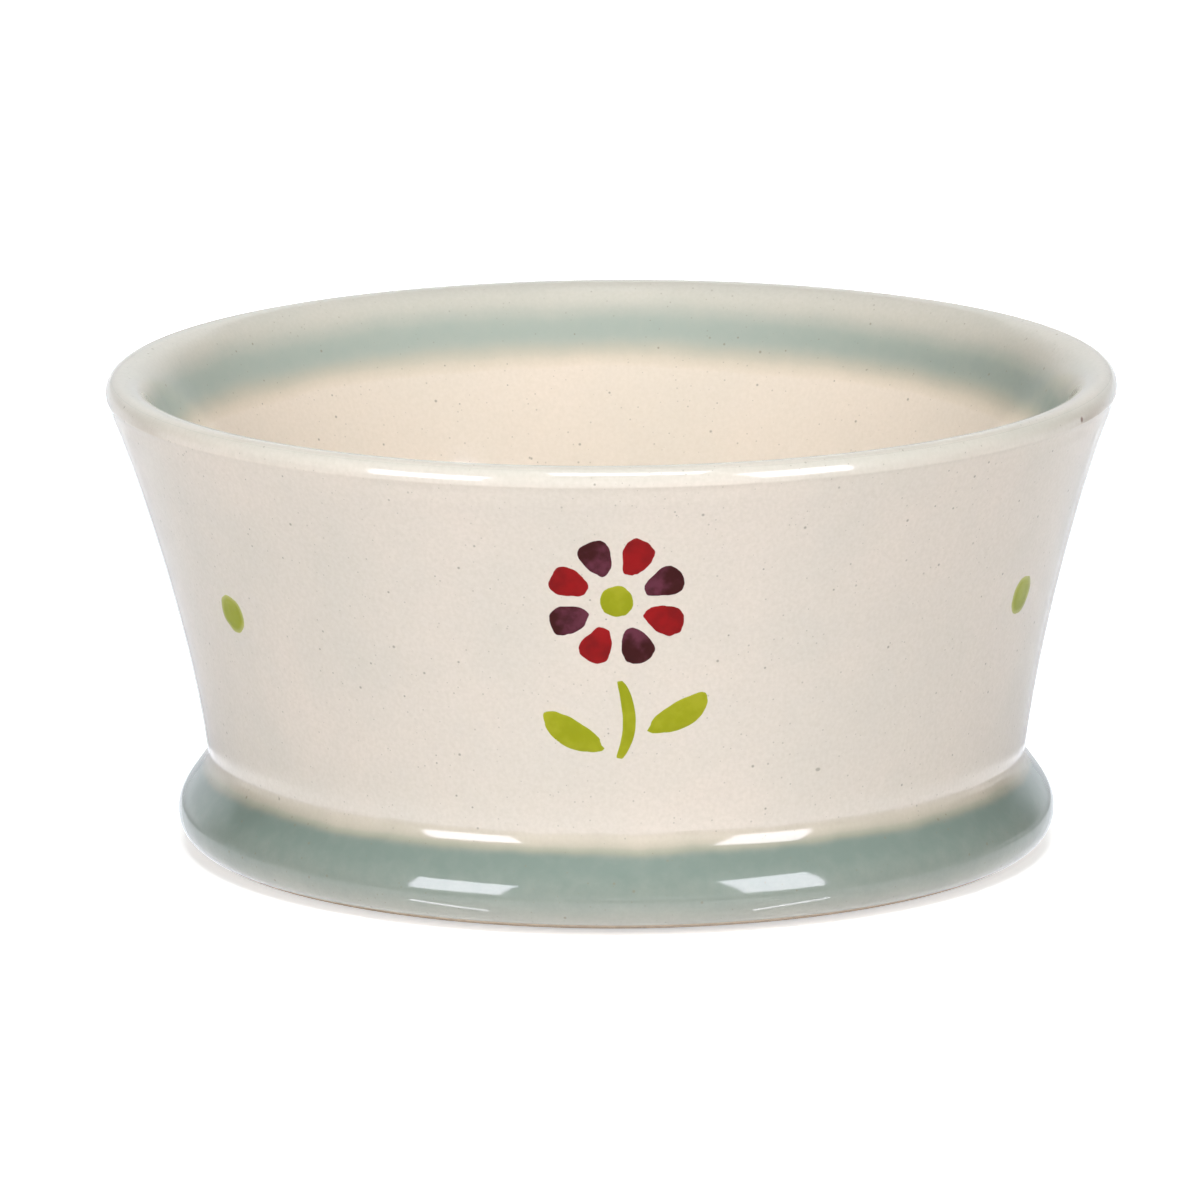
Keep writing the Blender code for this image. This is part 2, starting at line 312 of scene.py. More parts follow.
def inside_down():
    """From the crest over the lip's inward slope and down the inner wall to the middle of the floor."""
    crest = Vector((RIM_RADIUS - CREST_INSET, HEIGHT))
    lip_edge = Vector((RIM_RADIUS - LIP_WIDTH, HEIGHT - LIP_SLOPE_DROP))
    corner_top = Vector((0, FLOOR_HEIGHT + FLOOR_CORNER))
    lean_in = (corner_top.y - WAIST_HEIGHT) * math.tan(math.radians(WAIST_LEAN))
    corner_top.x = WAIST_RADIUS - WALL_THICKNESS + lean_in
    corner_end = Vector((corner_top.x - FLOOR_CORNER, FLOOR_HEIGHT))
    reach = (lip_edge - corner_top).length
    pull = FLOOR_CORNER * QUARTER_ROUND
    top_bend = up_wall(INSIDE_LEAN)
    low_bend = up_wall(INSIDE_LOW_LEAN)
    lip_run = OUT * (crest.x - lip_edge.x) * QUARTER_ROUND
    lip_rise = top_bend * LIP_SLOPE_DROP * QUARTER_ROUND
    edge_down = top_bend * reach * -INSIDE_TOP_PULL
    corner_up = low_bend * reach * INSIDE_LOW_PULL
    floor = [Vector((corner_end.x * (1 - i / FLOOR_STEPS), FLOOR_HEIGHT)) for i in range(FLOOR_STEPS + 1)]
    return joined(
        curve(crest, -lip_run, lip_edge, lip_rise, SLOPE_SPACING),
        curve(lip_edge, edge_down, corner_top, corner_up, INSIDE_SPACING),
        curve(corner_top, -low_bend * pull, corner_end, OUT * pull, CORNER_SPACING),
        floor,
    )


def outline():
    """The outline from the standing face to the floor's middle, and the lengths to its waist and crest."""
    foot = foot_up()
    wall = wall_up()
    foot_length = lengths_along(foot)[-1]
    low = between(foot, 0, foot_length - FILLET_DOWN)
    high = between(wall, FILLET_UP, lengths_along(wall)[-1])
    pull = (high[0] - low[-1]).length * FILLET_PULL
    low_bend = (low[-1] - low[-2]).normalized()
    high_bend = (high[1] - high[0]).normalized()
    fillet = curve(low[-1], low_bend * pull, high[0], -high_bend * pull, FILLET_SPACING)
    outer = joined(low, fillet, high)
    seam = lengths_along(joined(low, fillet))[-1]
    return joined(outer, inside_down()), seam, lengths_along(outer)[-1]


OUTLINE, WAIST_SEAM, CREST_LENGTH = outline()
OUTLINE_LENGTHS = lengths_along(OUTLINE)
BASE_SEAM = next(s for p, s in zip(OUTLINE, OUTLINE_LENGTHS) if p.y >= FOOT_SLIP_BASE)
JOINT_LENGTH = next(s for p, s in zip(OUTLINE, OUTLINE_LENGTHS) if p.y >= WAIST_HEIGHT)
RIM_TOP_SEAM = CREST_LENGTH + RIM_SLIP_START
RIM_LOW_SEAM = CREST_LENGTH + RIM_SLIP_END


def bowl_section():
    """The heel and shoulder inside the foot ring, the wall, the lip, the slip's bed and the inside.

    With it comes the length along it at which the rim slip's bed starts.
    """
    underside = RECESS_HEIGHT + HEEL_SPACE
    under_band = sunk(between(OUTLINE, JOINT_LENGTH, WAIST_SEAM), BED_DEPTH)
    rim_bed = sunk(between(OUTLINE, RIM_TOP_SEAM, RIM_LOW_SEAM), BED_DEPTH)
    below_rim = joined(
        [Vector((HEEL_RADIUS * i / HEEL_STEPS, underside)) for i in range(HEEL_STEPS + 1)],
        [Vector((HEEL_RADIUS, under_band[0].y))],
        under_band,
        between(OUTLINE, WAIST_SEAM, RIM_TOP_SEAM),
    )
    inside = between(OUTLINE, RIM_LOW_SEAM, OUTLINE_LENGTHS[-1])
    return joined(below_rim, rim_bed, inside), lengths_along(below_rim)[-1]


def foot_ring_section():
    """The socket for the heel, the standing face and the bed of the foot's slip, as a closed section."""
    standing = BASE_RADIUS - STANDING_WIDTH
    socket = HEEL_RADIUS + HEEL_SPACE
    under_band = sunk(between(OUTLINE, BASE_SEAM, JOINT_LENGTH - SHOULDER_SPACE), BED_DEPTH)
    top = under_band[-1].y
    section = joined(
        [Vector((socket, top)), Vector((socket, RECESS_HEIGHT)), Vector((standing, RECESS_HEIGHT))],
        [Vector((standing, FOOT_EASE)), Vector((standing + EASE_MIDDLE, EASE_MIDDLE))],
        [Vector((standing + FOOT_EASE, 0)), Vector((BASE_RADIUS - BASE_EASE, 0))],
        between(OUTLINE, 0, BASE_SEAM),
        under_band,
    )
    return section + section[:1]


def slip_section(start, end):
    """A thin slip band whose face is the outline between two lengths, as a closed section."""
    face = between(OUTLINE, start, end)
    section = face + sunk(face, SLIP_THICKNESS)[::-1]
    return section + section[:1]


# Turned pieces

def turned_clay_tree():
    """Turns a section round the upright axis, with the lean and waver of hand work."""
    lean_floats = ("Tilt Aside", "Tilt Ahead", "Rim Shift", "Lean From", "Lean To")
    other_floats = ("Wobble", "Wobble Seed", "Rim Radius", "Bare Below")
    tree, given, identifiers = new_tree(
        "turned_clay",
        {
            "Section": "Geometry",
            "Turn Steps": "Int",
            **dict.fromkeys(lean_floats + other_floats, "Float"),
            **dict.fromkeys(("Glaze", "Bare Clay"), "Material"),
        },
    )
    section = given["Section"]
    size = add(tree, "GeometryNodeAttributeDomainSize", {"Geometry": section}, component="MESH")
    count = size.outputs["Point Count"]
    columns = add(tree, "ShaderNodeMath", {0: given["Turn Steps"], 1: 1.0}, operation="ADD")
    grid = add(tree, "GeometryNodeMeshGrid", {"Vertices X": columns, "Vertices Y": count})

    index = add(tree, "GeometryNodeInputIndex")
    row = add(tree, "ShaderNodeMath", {0: index, 1: count}, operation="MODULO")
    row_start = add(tree, "ShaderNodeMath", {0: index, 1: row}, operation="SUBTRACT")
    column = add(tree, "ShaderNodeMath", {0: row_start, 1: count}, operation="DIVIDE")
    share = add(tree, "ShaderNodeMath", {0: column, 1: given["Turn Steps"]}, operation="DIVIDE")
    angle = add(tree, "ShaderNodeMath", {0: share, 1: 2 * math.pi}, operation="MULTIPLY")
    sine = add(tree, "ShaderNodeMath", {0: angle}, operation="SINE")
    cosine = add(tree, "ShaderNodeMath", {0: angle}, operation="COSINE")

    place = add(tree, "GeometryNodeInputPosition")
    run = add(tree, "GeometryNodeInputNamedAttribute", {"Name": "slip_run"}, data_type="FLOAT")
    point, sampled_run = (
        add(
            tree,
            "GeometryNodeSampleIndex",
            {"Geometry": section, "Value": value, "Index": row},
            data_type=kind,
            domain="POINT",
        )
        for value, kind in ((place, "FLOAT_VECTOR"), (run, "FLOAT"))
    )
    parts = add(tree, "ShaderNodeSeparateXYZ", {0: point})
    height = parts.outputs["Z"]

    slow_height = add(tree, "ShaderNodeMath", {0: height, 1: WOBBLE_RISE}, operation="MULTIPLY")
    waver_place = add(tree, "ShaderNodeCombineXYZ", {0: sine, 1: cosine, 2: slow_height})
    waver = add(
        tree,
        "ShaderNodeTexNoise",
        {"Vector": waver_place, "W": given["Wobble Seed"], "Scale": WOBBLE_SCALE, "Detail": 1.0},
        noise_dimensions="4D",
    )
    relative = add(
        tree,
        "ShaderNodeMath",
        {0: given["Wobble"], 1: given["Rim Radius"]},
        operation="DIVIDE",
    )
    low, high = WOBBLE_NOISE
    waver_out = add(tree, "ShaderNodeMapRange", {0: waver, 1: low, 2: high, 3: -1.0, 4: 1.0})
    swell = add(tree, "ShaderNodeMath", {0: waver_out, 1: relative, 2: 1.0}, operation="MULTIPLY_ADD")
    radius = add(tree, "ShaderNodeMath", {0: parts.outputs["X"], 1: swell}, operation="MULTIPLY")

    across = add(tree, "ShaderNodeMath", {0: radius, 1: sine}, operation="MULTIPLY")
    ahead = add(tree, "ShaderNodeMath", {0: radius, 1: cosine}, operation="MULTIPLY")
    back = add(tree, "ShaderNodeMath", {0: ahead, 1: -1.0}, operation="MULTIPLY")
    lean = add(
        tree,
        "ShaderNodeMapRange",
        {0: height, 1: given["Lean From"], 2: given["Lean To"]},
        interpolation_type="SMOOTHSTEP",
    )
    aside = add(tree, "ShaderNodeMath", {0: lean, 1: given["Tilt Aside"]}, operation="MULTIPLY")
    lifted = add(tree, "ShaderNodeMath", {0: across, 1: aside, 2: height}, operation="MULTIPLY_ADD")
    nod = add(tree, "ShaderNodeMath", {0: lean, 1: given["Tilt Ahead"]}, operation="MULTIPLY")
    raised = add(tree, "ShaderNodeMath", {0: ahead, 1: nod, 2: lifted}, operation="MULTIPLY_ADD")
    shifted = add(
        tree,
        "ShaderNodeMath",
        {0: lean, 1: given["Rim Shift"], 2: across},
        operation="MULTIPLY_ADD",
    )
    turned_place = add(tree, "ShaderNodeCombineXYZ", {0: shifted, 1: back, 2: raised})

    runs = {"slip_run": sampled_run}
    glazed = finished(tree, grid, runs, turned_place, TURNED_WELD, given["Glaze"])
    face_height = add(tree, "ShaderNodeSeparateXYZ", {0: place}).outputs["Z"]
    is_bare = add(
        tree,
        "FunctionNodeCompare",
        {0: face_height, 1: given["Bare Below"]},
        data_type="FLOAT",
        operation="LESS_THAN",
    )
    bare = add(
        tree,
        "GeometryNodeSetMaterial",
        {"Geometry": glazed, "Selection": is_bare, "Material": given["Bare Clay"]},
    )
    add(tree, "NodeGroupOutput", {0: bare})
    return tree, identifiers


def turned(name, section, glaze, run_start=0.0, bare_below=-1.0):
    """A turned piece from its section, with each point's distance along the section from a start."""
    start = bpy.data.meshes.new(name + "_section")
    start.from_pydata([(point.x, 0, point.y) for point in section], [], [])
    runs = start.attributes.new("slip_run", "FLOAT", "POINT")
    runs.data.foreach_set("value", [length - run_start for length in lengths_along(section)])
    values = {
        "Turn Steps": TURN_STEPS,
        "Tilt Aside": TILT_ASIDE,
        "Tilt Ahead": TILT_AHEAD,
        "Rim Shift": RIM_SHIFT,
        "Lean From": LEAN_FROM,
        "Lean To": LEAN_TO,
        "Wobble": WOBBLE,
        "Wobble Seed": WOBBLE_SEED,
        "Rim Radius": RIM_RADIUS,
        "Bare Below": bare_below,
        "Glaze": glaze,
        "Bare Clay": BARE_CLAY,
    }
    piece = plain_mesh(name, start, *TURNED_CLAY, values)
    piece.data.set_sharp_from_angle(angle=math.radians(SHARP_EDGE))
    return piece


# Painted strokes

STROKE_SPOKES = 96
STROKE_FACE_ROWS = 12
STROKE_BACK_ROWS = 3
STROKE_RELIEF = 0.035 * MM
STROKE_TUCK = 0.03 * MM
STROKE_FLATNESS = 5.0
STROKE_BACK_DEPTH = 4.0
STROKE_WELD = 5e-7
BRUSH_SCALE = 1.3
BRUSH_NOISE = (0.25, 0.75)
CAST_REACH = 0.1
# A share of a length, times the share that is left, times this, arches from nought to one and back
ARCH = 4.0


def painted_stroke_tree():
    """Lays one brush stroke on the wall: a thin lens of colour with the outline of a petal, leaf or dot."""
    shape_floats = ("Aside", "Rise", "Turn", "Length", "Width", "Pointedness", "Taper", "Bow")
    wall_floats = ("Unevenness", "Seed", "Relief", "Tuck", "Wall Radius", "Wall Slope")
    floats = ("Azimuth", "Height", *shape_floats, *wall_floats)
    tree, given, identifiers = new_tree(
        "painted_stroke",
        {"Start": "Geometry", "Wall": "Object", **dict.fromkeys(floats, "Float"), "Paint": "Material"},
    )
    rows = STROKE_FACE_ROWS + STROKE_BACK_ROWS + 1
    grid = add(tree, "GeometryNodeMeshGrid", {"Vertices X": STROKE_SPOKES + 1, "Vertices Y": rows})
    index = add(tree, "GeometryNodeInputIndex")
    row = add(tree, "ShaderNodeMath", {0: index, 1: float(rows)}, operation="MODULO")
    row_start = add(tree, "ShaderNodeMath", {0: index, 1: row}, operation="SUBTRACT")
    turn_each = -2 * math.pi / (rows * STROKE_SPOKES)
    angle = add(tree, "ShaderNodeMath", {0: row_start, 1: turn_each}, operation="MULTIPLY")
    sine = add(tree, "ShaderNodeMath", {0: angle}, operation="SINE")
    cosine = add(tree, "ShaderNodeMath", {0: angle}, operation="COSINE")

    # From the middle of the face to the edge, then back to the middle behind it
    to_edge = add(tree, "ShaderNodeMath", {0: row, 1: 1 / STROKE_FACE_ROWS}, operation="MULTIPLY")
    back_end = 1 + STROKE_FACE_ROWS / STROKE_BACK_ROWS
    to_back = add(
        tree,
        "ShaderNodeMath",
        {0: row, 1: -1 / STROKE_BACK_ROWS, 2: back_end},
        operation="MULTIPLY_ADD",
    )
    edge = add(tree, "ShaderNodeMath", {0: to_edge, 1: to_back}, operation="MINIMUM")
    is_back = add(tree, "ShaderNodeMath", {0: row, 1: STROKE_FACE_ROWS + 0.5}, operation="GREATER_THAN")

    # The outline's half width is a power of the sine, narrowed towards the stroke's start
    steep = add(tree, "ShaderNodeMath", {0: sine}, operation="ABSOLUTE")
    shaped = add(tree, "ShaderNodeMath", {0: steep, 1: given["Pointedness"]}, operation="POWER")
    side = add(tree, "ShaderNodeMath", {0: sine}, operation="SIGN")
    signed = add(tree, "ShaderNodeMath", {0: shaped, 1: side}, operation="MULTIPLY")
    minus_taper = add(tree, "ShaderNodeMath", {0: given["Taper"], 1: -1.0}, operation="MULTIPLY")
    taper = add(tree, "ShaderNodeMath", {0: cosine, 1: minus_taper, 2: 1.0}, operation="MULTIPLY_ADD")
    half_width = add(tree, "ShaderNodeMath", {0: given["Width"], 1: 0.5}, operation="MULTIPLY")
    half_length = add(tree, "ShaderNodeMath", {0: given["Length"], 1: 0.5}, operation="MULTIPLY")
    tapered = add(tree, "ShaderNodeMath", {0: signed, 1: taper}, operation="MULTIPLY")
    edge_aside = add(tree, "ShaderNodeMath", {0: tapered, 1: half_width}, operation="MULTIPLY")
    minus_cosine = add(tree, "ShaderNodeMath", {0: cosine, 1: -1.0}, operation="MULTIPLY")
    edge_up = add(tree, "ShaderNodeMath", {0: minus_cosine, 1: half_length}, operation="MULTIPLY")

    # A brush never leaves the same edge twice
    round_place = add(tree, "ShaderNodeCombineXYZ", {0: sine, 1: cosine, 2: 0.0})
    brush = add(
        tree,
        "ShaderNodeTexNoise",
        {
            "Vector": round_place,
            "W": given["Seed"],
            "Scale": BRUSH_SCALE,
            "Detail": 2.0,
            "Roughness": 0.4,
        },
        noise_dimensions="4D",
    )
    least = add(tree, "ShaderNodeMath", {0: 1.0, 1: given["Unevenness"]}, operation="SUBTRACT")
    most = add(tree, "ShaderNodeMath", {0: 1.0, 1: given["Unevenness"]}, operation="ADD")
    low, high = BRUSH_NOISE
    uneven = add(tree, "ShaderNodeMapRange", {0: brush, 1: low, 2: high, 3: least, 4: most})
    reach = add(tree, "ShaderNodeMath", {0: uneven, 1: edge}, operation="MULTIPLY")
    aside = add(tree, "ShaderNodeMath", {0: edge_aside, 1: reach}, operation="MULTIPLY")
    middle_up = add(tree, "ShaderNodeMath", {0: edge_up, 1: reach}, operation="MULTIPLY")
    up = add(tree, "ShaderNodeMath", {0: middle_up, 1: half_length}, operation="ADD")
    along = add(tree, "ShaderNodeMath", {0: up, 1: given["Length"]}, operation="DIVIDE")
    left_over = add(tree, "ShaderNodeMath", {0: 1.0, 1: along}, operation="SUBTRACT")
    arch = add(tree, "ShaderNodeMath", {0: along, 1: left_over}, operation="MULTIPLY")
    bow = add(tree, "ShaderNodeMath", {0: given["Bow"], 1: ARCH}, operation="MULTIPLY")
    bowed = add(tree, "ShaderNodeMath", {0: arch, 1: bow, 2: aside}, operation="MULTIPLY_ADD")
    flat = add(tree, "ShaderNodeCombineXYZ", {0: bowed, 1: up, 2: 0.0})
    leaned = add(
        tree,
        "ShaderNodeVectorRotate",
        {"Vector": flat, "Angle": given["Turn"]},
        rotation_type="Z_AXIS",
    )
    parts = add(tree, "ShaderNodeSeparateXYZ", {0: leaned})

    # The flat stroke is wrapped round the wall and dropped on to its face
    rise = add(tree, "ShaderNodeMath", {0: parts.outputs["Y"], 1: given["Rise"]}, operation="ADD")
    height = add(tree, "ShaderNodeMath", {0: rise, 1: given["Height"]}, operation="ADD")
    radius = add(
        tree,
        "ShaderNodeMath",
        {0: rise, 1: given["Wall Slope"], 2: given["Wall Radius"]},
        operation="MULTIPLY_ADD",
    )
    sideways = add(tree, "ShaderNodeMath", {0: parts.outputs["X"], 1: given["Aside"]}, operation="ADD")
    swing = add(tree, "ShaderNodeMath", {0: sideways, 1: radius}, operation="DIVIDE")
    azimuth = add(tree, "ShaderNodeMath", {0: swing, 1: given["Azimuth"]}, operation="ADD")
    out_x = add(tree, "ShaderNodeMath", {0: azimuth}, operation="SINE")
    front = add(tree, "ShaderNodeMath", {0: azimuth}, operation="COSINE")
    out_y = add(tree, "ShaderNodeMath", {0: front, 1: -1.0}, operation="MULTIPLY")
    outward = add(tree, "ShaderNodeCombineXYZ", {0: out_x, 1: out_y, 2: 0.0})
    far_off = add(tree, "ShaderNodeVectorMath", {0: outward, "Scale": CAST_REACH}, operation="SCALE")
    at_height = add(tree, "ShaderNodeCombineXYZ", {0: 0.0, 1: 0.0, 2: height})
    source = add(tree, "ShaderNodeVectorMath", {0: far_off, 1: at_height}, operation="ADD")
    inward = add(tree, "ShaderNodeVectorMath", {0: outward, "Scale": -1.0}, operation="SCALE")
    wall = add(tree, "GeometryNodeObjectInfo", {"Object": given["Wall"]}, transform_space="RELATIVE")
    cast = add(
        tree,
        "GeometryNodeRaycast",
        {
            "Target Geometry": wall.outputs["Geometry"],
            "Source Position": source,
            "Ray Direction": inward,
            "Ray Length": CAST_REACH,
        },
    )

    # The face swells a little and its edge is tucked into the glaze
    flatness = add(tree, "ShaderNodeMath", {0: edge, 1: STROKE_FLATNESS}, operation="POWER")
    minus_tuck = add(tree, "ShaderNodeMath", {0: given["Tuck"], 1: -1.0}, operation="MULTIPLY")
    face_out = add(
        tree, "ShaderNodeMapRange", {0: flatness, 1: 0.0, 2: 1.0, 3: given["Relief"], 4: minus_tuck}
    )
    deep = add(tree, "ShaderNodeMath", {0: minus_tuck, 1: STROKE_BACK_DEPTH}, operation="MULTIPLY")
    back_out = add(tree, "ShaderNodeMapRange", {0: edge, 1: 0.0, 2: 1.0, 3: deep, 4: minus_tuck})
    stand = add(tree, "ShaderNodeMix", {0: is_back, 2: face_out, 3: back_out}, data_type="FLOAT")
    offset = add(
        tree, "ShaderNodeVectorMath", {0: cast.outputs["Hit Normal"], "Scale": stand}, operation="SCALE"
    )
    laid = add(tree, "ShaderNodeVectorMath", {0: cast.outputs["Hit Position"], 1: offset}, operation="ADD")

    values = {"stroke_edge": edge, "stroke_along": along}
    painted = finished(tree, grid, values, laid, STROKE_WELD, given["Paint"])
    add(tree, "NodeGroupOutput", {0: painted})
    return tree, identifiers


# Finishes

CREAM_COOL = "E1DAD0"
CREAM_WARM = "EADFD4"
CREAM_GRAIN = "C9C0B0"
CREAM_INSIDE_BOUNCE = "EADAC4"
SPECK = "8C8676"
IRON = "6E3F22"
RIM_SLIP = "A9B4AC"
RIM_SLIP_THICK = "97A29A"
FOOT_SLIP = "819088"
SLIP_HALO = "D2C2A4"
BUFF_CLAY = "CDB9A2"
BUFF_CLAY_DARK = "BFA88F"

# Sizes of the finishes' patterns. The clay's own grain is finer and is drawn as coarse as it needs to show
CLOUD_SIZE = 14 * MM
GRAIN_SIZE = 0.4 * MM
RIPPLE_SIZE = 3.5 * MM
STRAY_SIZE = 9 * MM
MOTTLE_SIZE = 1.6 * MM
STREAK_SIZE = 1.5 * MM
SAND_SIZE = 0.6 * MM

# The stretch of each pattern's noise that is spread over its whole range
NOISE_LOW = 0.3
NOISE_HIGH = 0.7
GRAIN_NOISE = (0.3, 0.75)
STRAY_NOISE = (0.25, 0.75)
STREAK_NOISE = (0.35, 0.75)

# How deep and how strong the patterns are, and how the faces shine
RIPPLE_DEPTH = 0.012 * MM
SAND_DEPTH = 0.05 * MM
SAND_STRENGTH = 0.6
GRAIN_STRENGTH = 0.24
MOTTLE_LEAST = 0.95
GLAZE_IOR = 1.52
GLAZE_ROUGHNESS = (0.06, 0.09)
BISCUIT_ROUGHNESS = (0.72, 0.9)

# Fine iron specks in the clay show through the glaze. Each kind has its spacing, its size as a share of
# that, and its strength. The least speck and the dark core of each are shares of the size
SPECKS = ((1.65 * MM, 0.125, 0.66), (0.8 * MM, 0.16, 0.40))
SPECK_LEAST = 0.3
SPECK_CORE = 0.4
# Single flaws that the photograph shows: place, half size along each axis, colour and strength
FLAWS = (
    ((45.4, -20.2, 46.2), (0.45, 0.40, 0.36), IRON, 0.85),
    ((19.4, -36.7, 15.1), (0.34, 0.34, 0.24), SPECK, 0.6),
    ((-39.0, 18.9, 38.1), (0.30, 0.30, 0.30), IRON, 0.6),
    ((-46.1, -7.7, 35.1), (0.50, 0.70, 0.40), SPECK, 0.7),
)
FLAW_CORE = 0.5

# How thick the slip lies along its run, and how much of the warm halo that it leaves where it thins out
RIM_SLIP_COVER = (
    *((0.0, 0.30), (0.3, 0.30), (0.8, 0.36), (1.6, 0.40), (3.5, 0.46), (5.5, 0.80)),
    *((7.1, 1.0), (8.5, 0.90), (9.6, 0.60), (10.5, 0.17), (11.2, 0.0)),
)
RIM_SLIP_SEEP = ((0.0, 0.0), (8.0, 0.0), (9.8, 0.22), (11.4, 0.0))
# Towards the standing face the foot's slip thins out: partly thinner slip, partly painted bounce light from
# the table under the foot
FOOT_SLIP_COVER = (
    *((0.0, 0.44), (1.2, 0.62), (2.9, 0.88), (4.0, 0.94), (7.5, 1.0)),
    *((8.1, 0.85), (8.6, 0.50), (9.2, 0.25), (10.0, 0.0)),
)
FOOT_SLIP_SEEP = ((0.0, 0.0), (7.2, 0.0), (8.4, 0.30), (9.9, 0.0))
# How far the slip's edges stray to either side
SLIP_STRAY = 0.35 * MM
# To the right the rim's slip has sagged and lies thicker: how far, and over which stretch from the axis
RIM_SLIP_SAG = 0.8 * MM
SAG_ACROSS = (5 * MM, 42 * MM)
# A thin wash of the rim's slip runs out over the lip's outside, between two drops from the crest
LIP_WASH = (0.3 * MM, 1.9 * MM)
LIP_WASH_COVER = 0.32
# Painted warm bounce light tints the cream inside the bowl: the run past the rim slip's top edge over which
# that comes in
BOUNCE_RUN = (3 * MM, 8 * MM)
PAINTED_BOUNCE_WARMTH = 0.28
# Colour pools in a ring part of the way out, soft at its sides and open towards the stroke's end
POOL_RING = 0.52
POOL_SIDES = (0.06, 0.26)
POOL_OPEN = (0.55, 0.75)


def cream_clay(tree, place, run, bounce_warmth):
    """Even cream clay whose tone clouds slowly, with a fine dry grain and painted warm bounce light inside
    the bowl.
    """
    cool, warm = linear(CREAM_COOL), linear(CREAM_WARM)
    clouds = {"Vector": place, "Scale": 1 / CLOUD_SIZE, "Detail": 3.0, "Roughness": 0.6}
    cloud = add(tree, "ShaderNodeTexNoise", clouds)
    tone = add(tree, "ShaderNodeMapRange", {0: cloud, 1: NOISE_LOW, 2: NOISE_HIGH})
    cream = add(tree, "ShaderNodeMix", {0: tone, 6: cool, 7: warm}, data_type="RGBA")
    grain = add(tree, "ShaderNodeTexNoise", {"Vector": place, "Scale": 1 / GRAIN_SIZE, "Detail": 1.0})
    low, high = GRAIN_NOISE
    fine = add(tree, "ShaderNodeMapRange", {0: grain, 1: low, 2: high, 3: 0.0, 4: GRAIN_STRENGTH})
    grained = add(tree, "ShaderNodeMix", {0: fine, 6: cream, 7: linear(CREAM_GRAIN)}, data_type="RGBA")
    # Painted warm bounce light: the cream turns warmer down the inside of the bowl
    inside = add(tree, "ShaderNodeMapRange", {0: run, 1: BOUNCE_RUN[0], 2: BOUNCE_RUN[1], 3: 0.0, 4: bounce_warmth})
    return add(tree, "ShaderNodeMix", {0: inside, 6: grained, 7: linear(CREAM_INSIDE_BOUNCE)}, data_type="RGBA")


def speckled(tree, place, colour):
    """The colour with the clay's sparse fine specks and single flaws over it."""
    for spacing, size, strength in SPECKS:
        cells = add(tree, "ShaderNodeTexVoronoi", {"Vector": place, "Scale": 1 / spacing})
        chance = add(tree, "ShaderNodeSeparateColor", {0: cells.outputs["Color"]})
        span = size * (1 - SPECK_LEAST)
        reach = add(tree, "ShaderNodeMath", {0: chance.outputs[0], 1: span}, operation="MULTIPLY")
        outer = add(tree, "ShaderNodeMath", {0: reach, 1: size * SPECK_LEAST}, operation="ADD")
        inner = add(tree, "ShaderNodeMath", {0: outer, 1: SPECK_CORE}, operation="MULTIPLY")
        spot = add(
            tree,
            "ShaderNodeMapRange",
            {0: cells.outputs["Distance"], 1: inner, 2: outer, 3: strength, 4: 0.0},
        )
        colour = add(tree, "ShaderNodeMix", {0: spot, 6: colour, 7: linear(SPECK)}, data_type="RGBA")
    for centre, size, code, strength in FLAWS:
        away = add(tree, "ShaderNodeVectorMath", {0: place, 1: Vector(centre) * MM}, operation="SUBTRACT")
        scaled = add(tree, "ShaderNodeVectorMath", {0: away, 1: Vector(size) * MM}, operation="DIVIDE")
        far = add(tree, "ShaderNodeVectorMath", {0: scaled}, operation="LENGTH").outputs["Value"]
        mark = add(tree, "ShaderNodeMapRange", {0: far, 1: FLAW_CORE, 2: 1.0, 3: strength, 4: 0.0})
        colour = add(tree, "ShaderNodeMix", {0: mark, 6: colour, 7: linear(code)}, data_type="RGBA")
    return colour


def clear_glaze(tree, place):
    """Normal and roughness of clear glaze: wet to the eye, with a slow ripple that bends reflections."""
    ripple = add(tree, "ShaderNodeTexNoise", {"Vector": place, "Scale": 1 / RIPPLE_SIZE, "Detail": 2.0})
    bump = add(tree, "ShaderNodeBump", {"Height": ripple, "Strength": 1.0, "Distance": RIPPLE_DEPTH})
    least, most = GLAZE_ROUGHNESS
    rough = add(tree, "ShaderNodeMapRange", {0: ripple, 1: NOISE_LOW, 2: NOISE_HIGH, 3: least, 4: most})
    return bump.outputs["Normal"], rough


def glaze_over_clay(tree, place):
    """Clear glaze over the speckled cream clay: a warm pale face, with a breath of slip on the lip."""
    height = add(tree, "ShaderNodeSeparateXYZ", {0: place}).outputs["Z"]
    wash_top, wash_low = (HEIGHT - drop for drop in LIP_WASH)
    washes = {0: height, 1: wash_low, 2: wash_top, 3: 0.0, 4: LIP_WASH_COVER}
    wiped = add(tree, "ShaderNodeMapRange", washes)
    run = add(tree, "ShaderNodeAttribute", attribute_name="slip_run").outputs["Fac"]
    cream = cream_clay(tree, place, run, PAINTED_BOUNCE_WARMTH)
    washed = add(tree, "ShaderNodeMix", {0: wiped, 6: cream, 7: linear(RIM_SLIP)}, data_type="RGBA")
    return speckled(tree, place, washed), *clear_glaze(tree, place)


def finish_material(name, build):
    """A material whose colour, normal and roughness come from a build function."""
    material = bpy.data.materials.new(name)
    material.use_nodes = True
    tree = material.node_tree
    shader = tree.nodes["Principled BSDF"]
    shader.inputs["IOR"].default_value = GLAZE_IOR
    place = add(tree, "ShaderNodeTexCoord").outputs["Object"]
    colour, normal, roughness = build(tree, place)
    for key, node in (("Base Color", colour), ("Roughness", roughness)):
        tree.links.new(next(socket for socket in node.outputs if socket.enabled), shader.inputs[key])
    tree.links.new(normal, shader.inputs["Normal"])
    return material


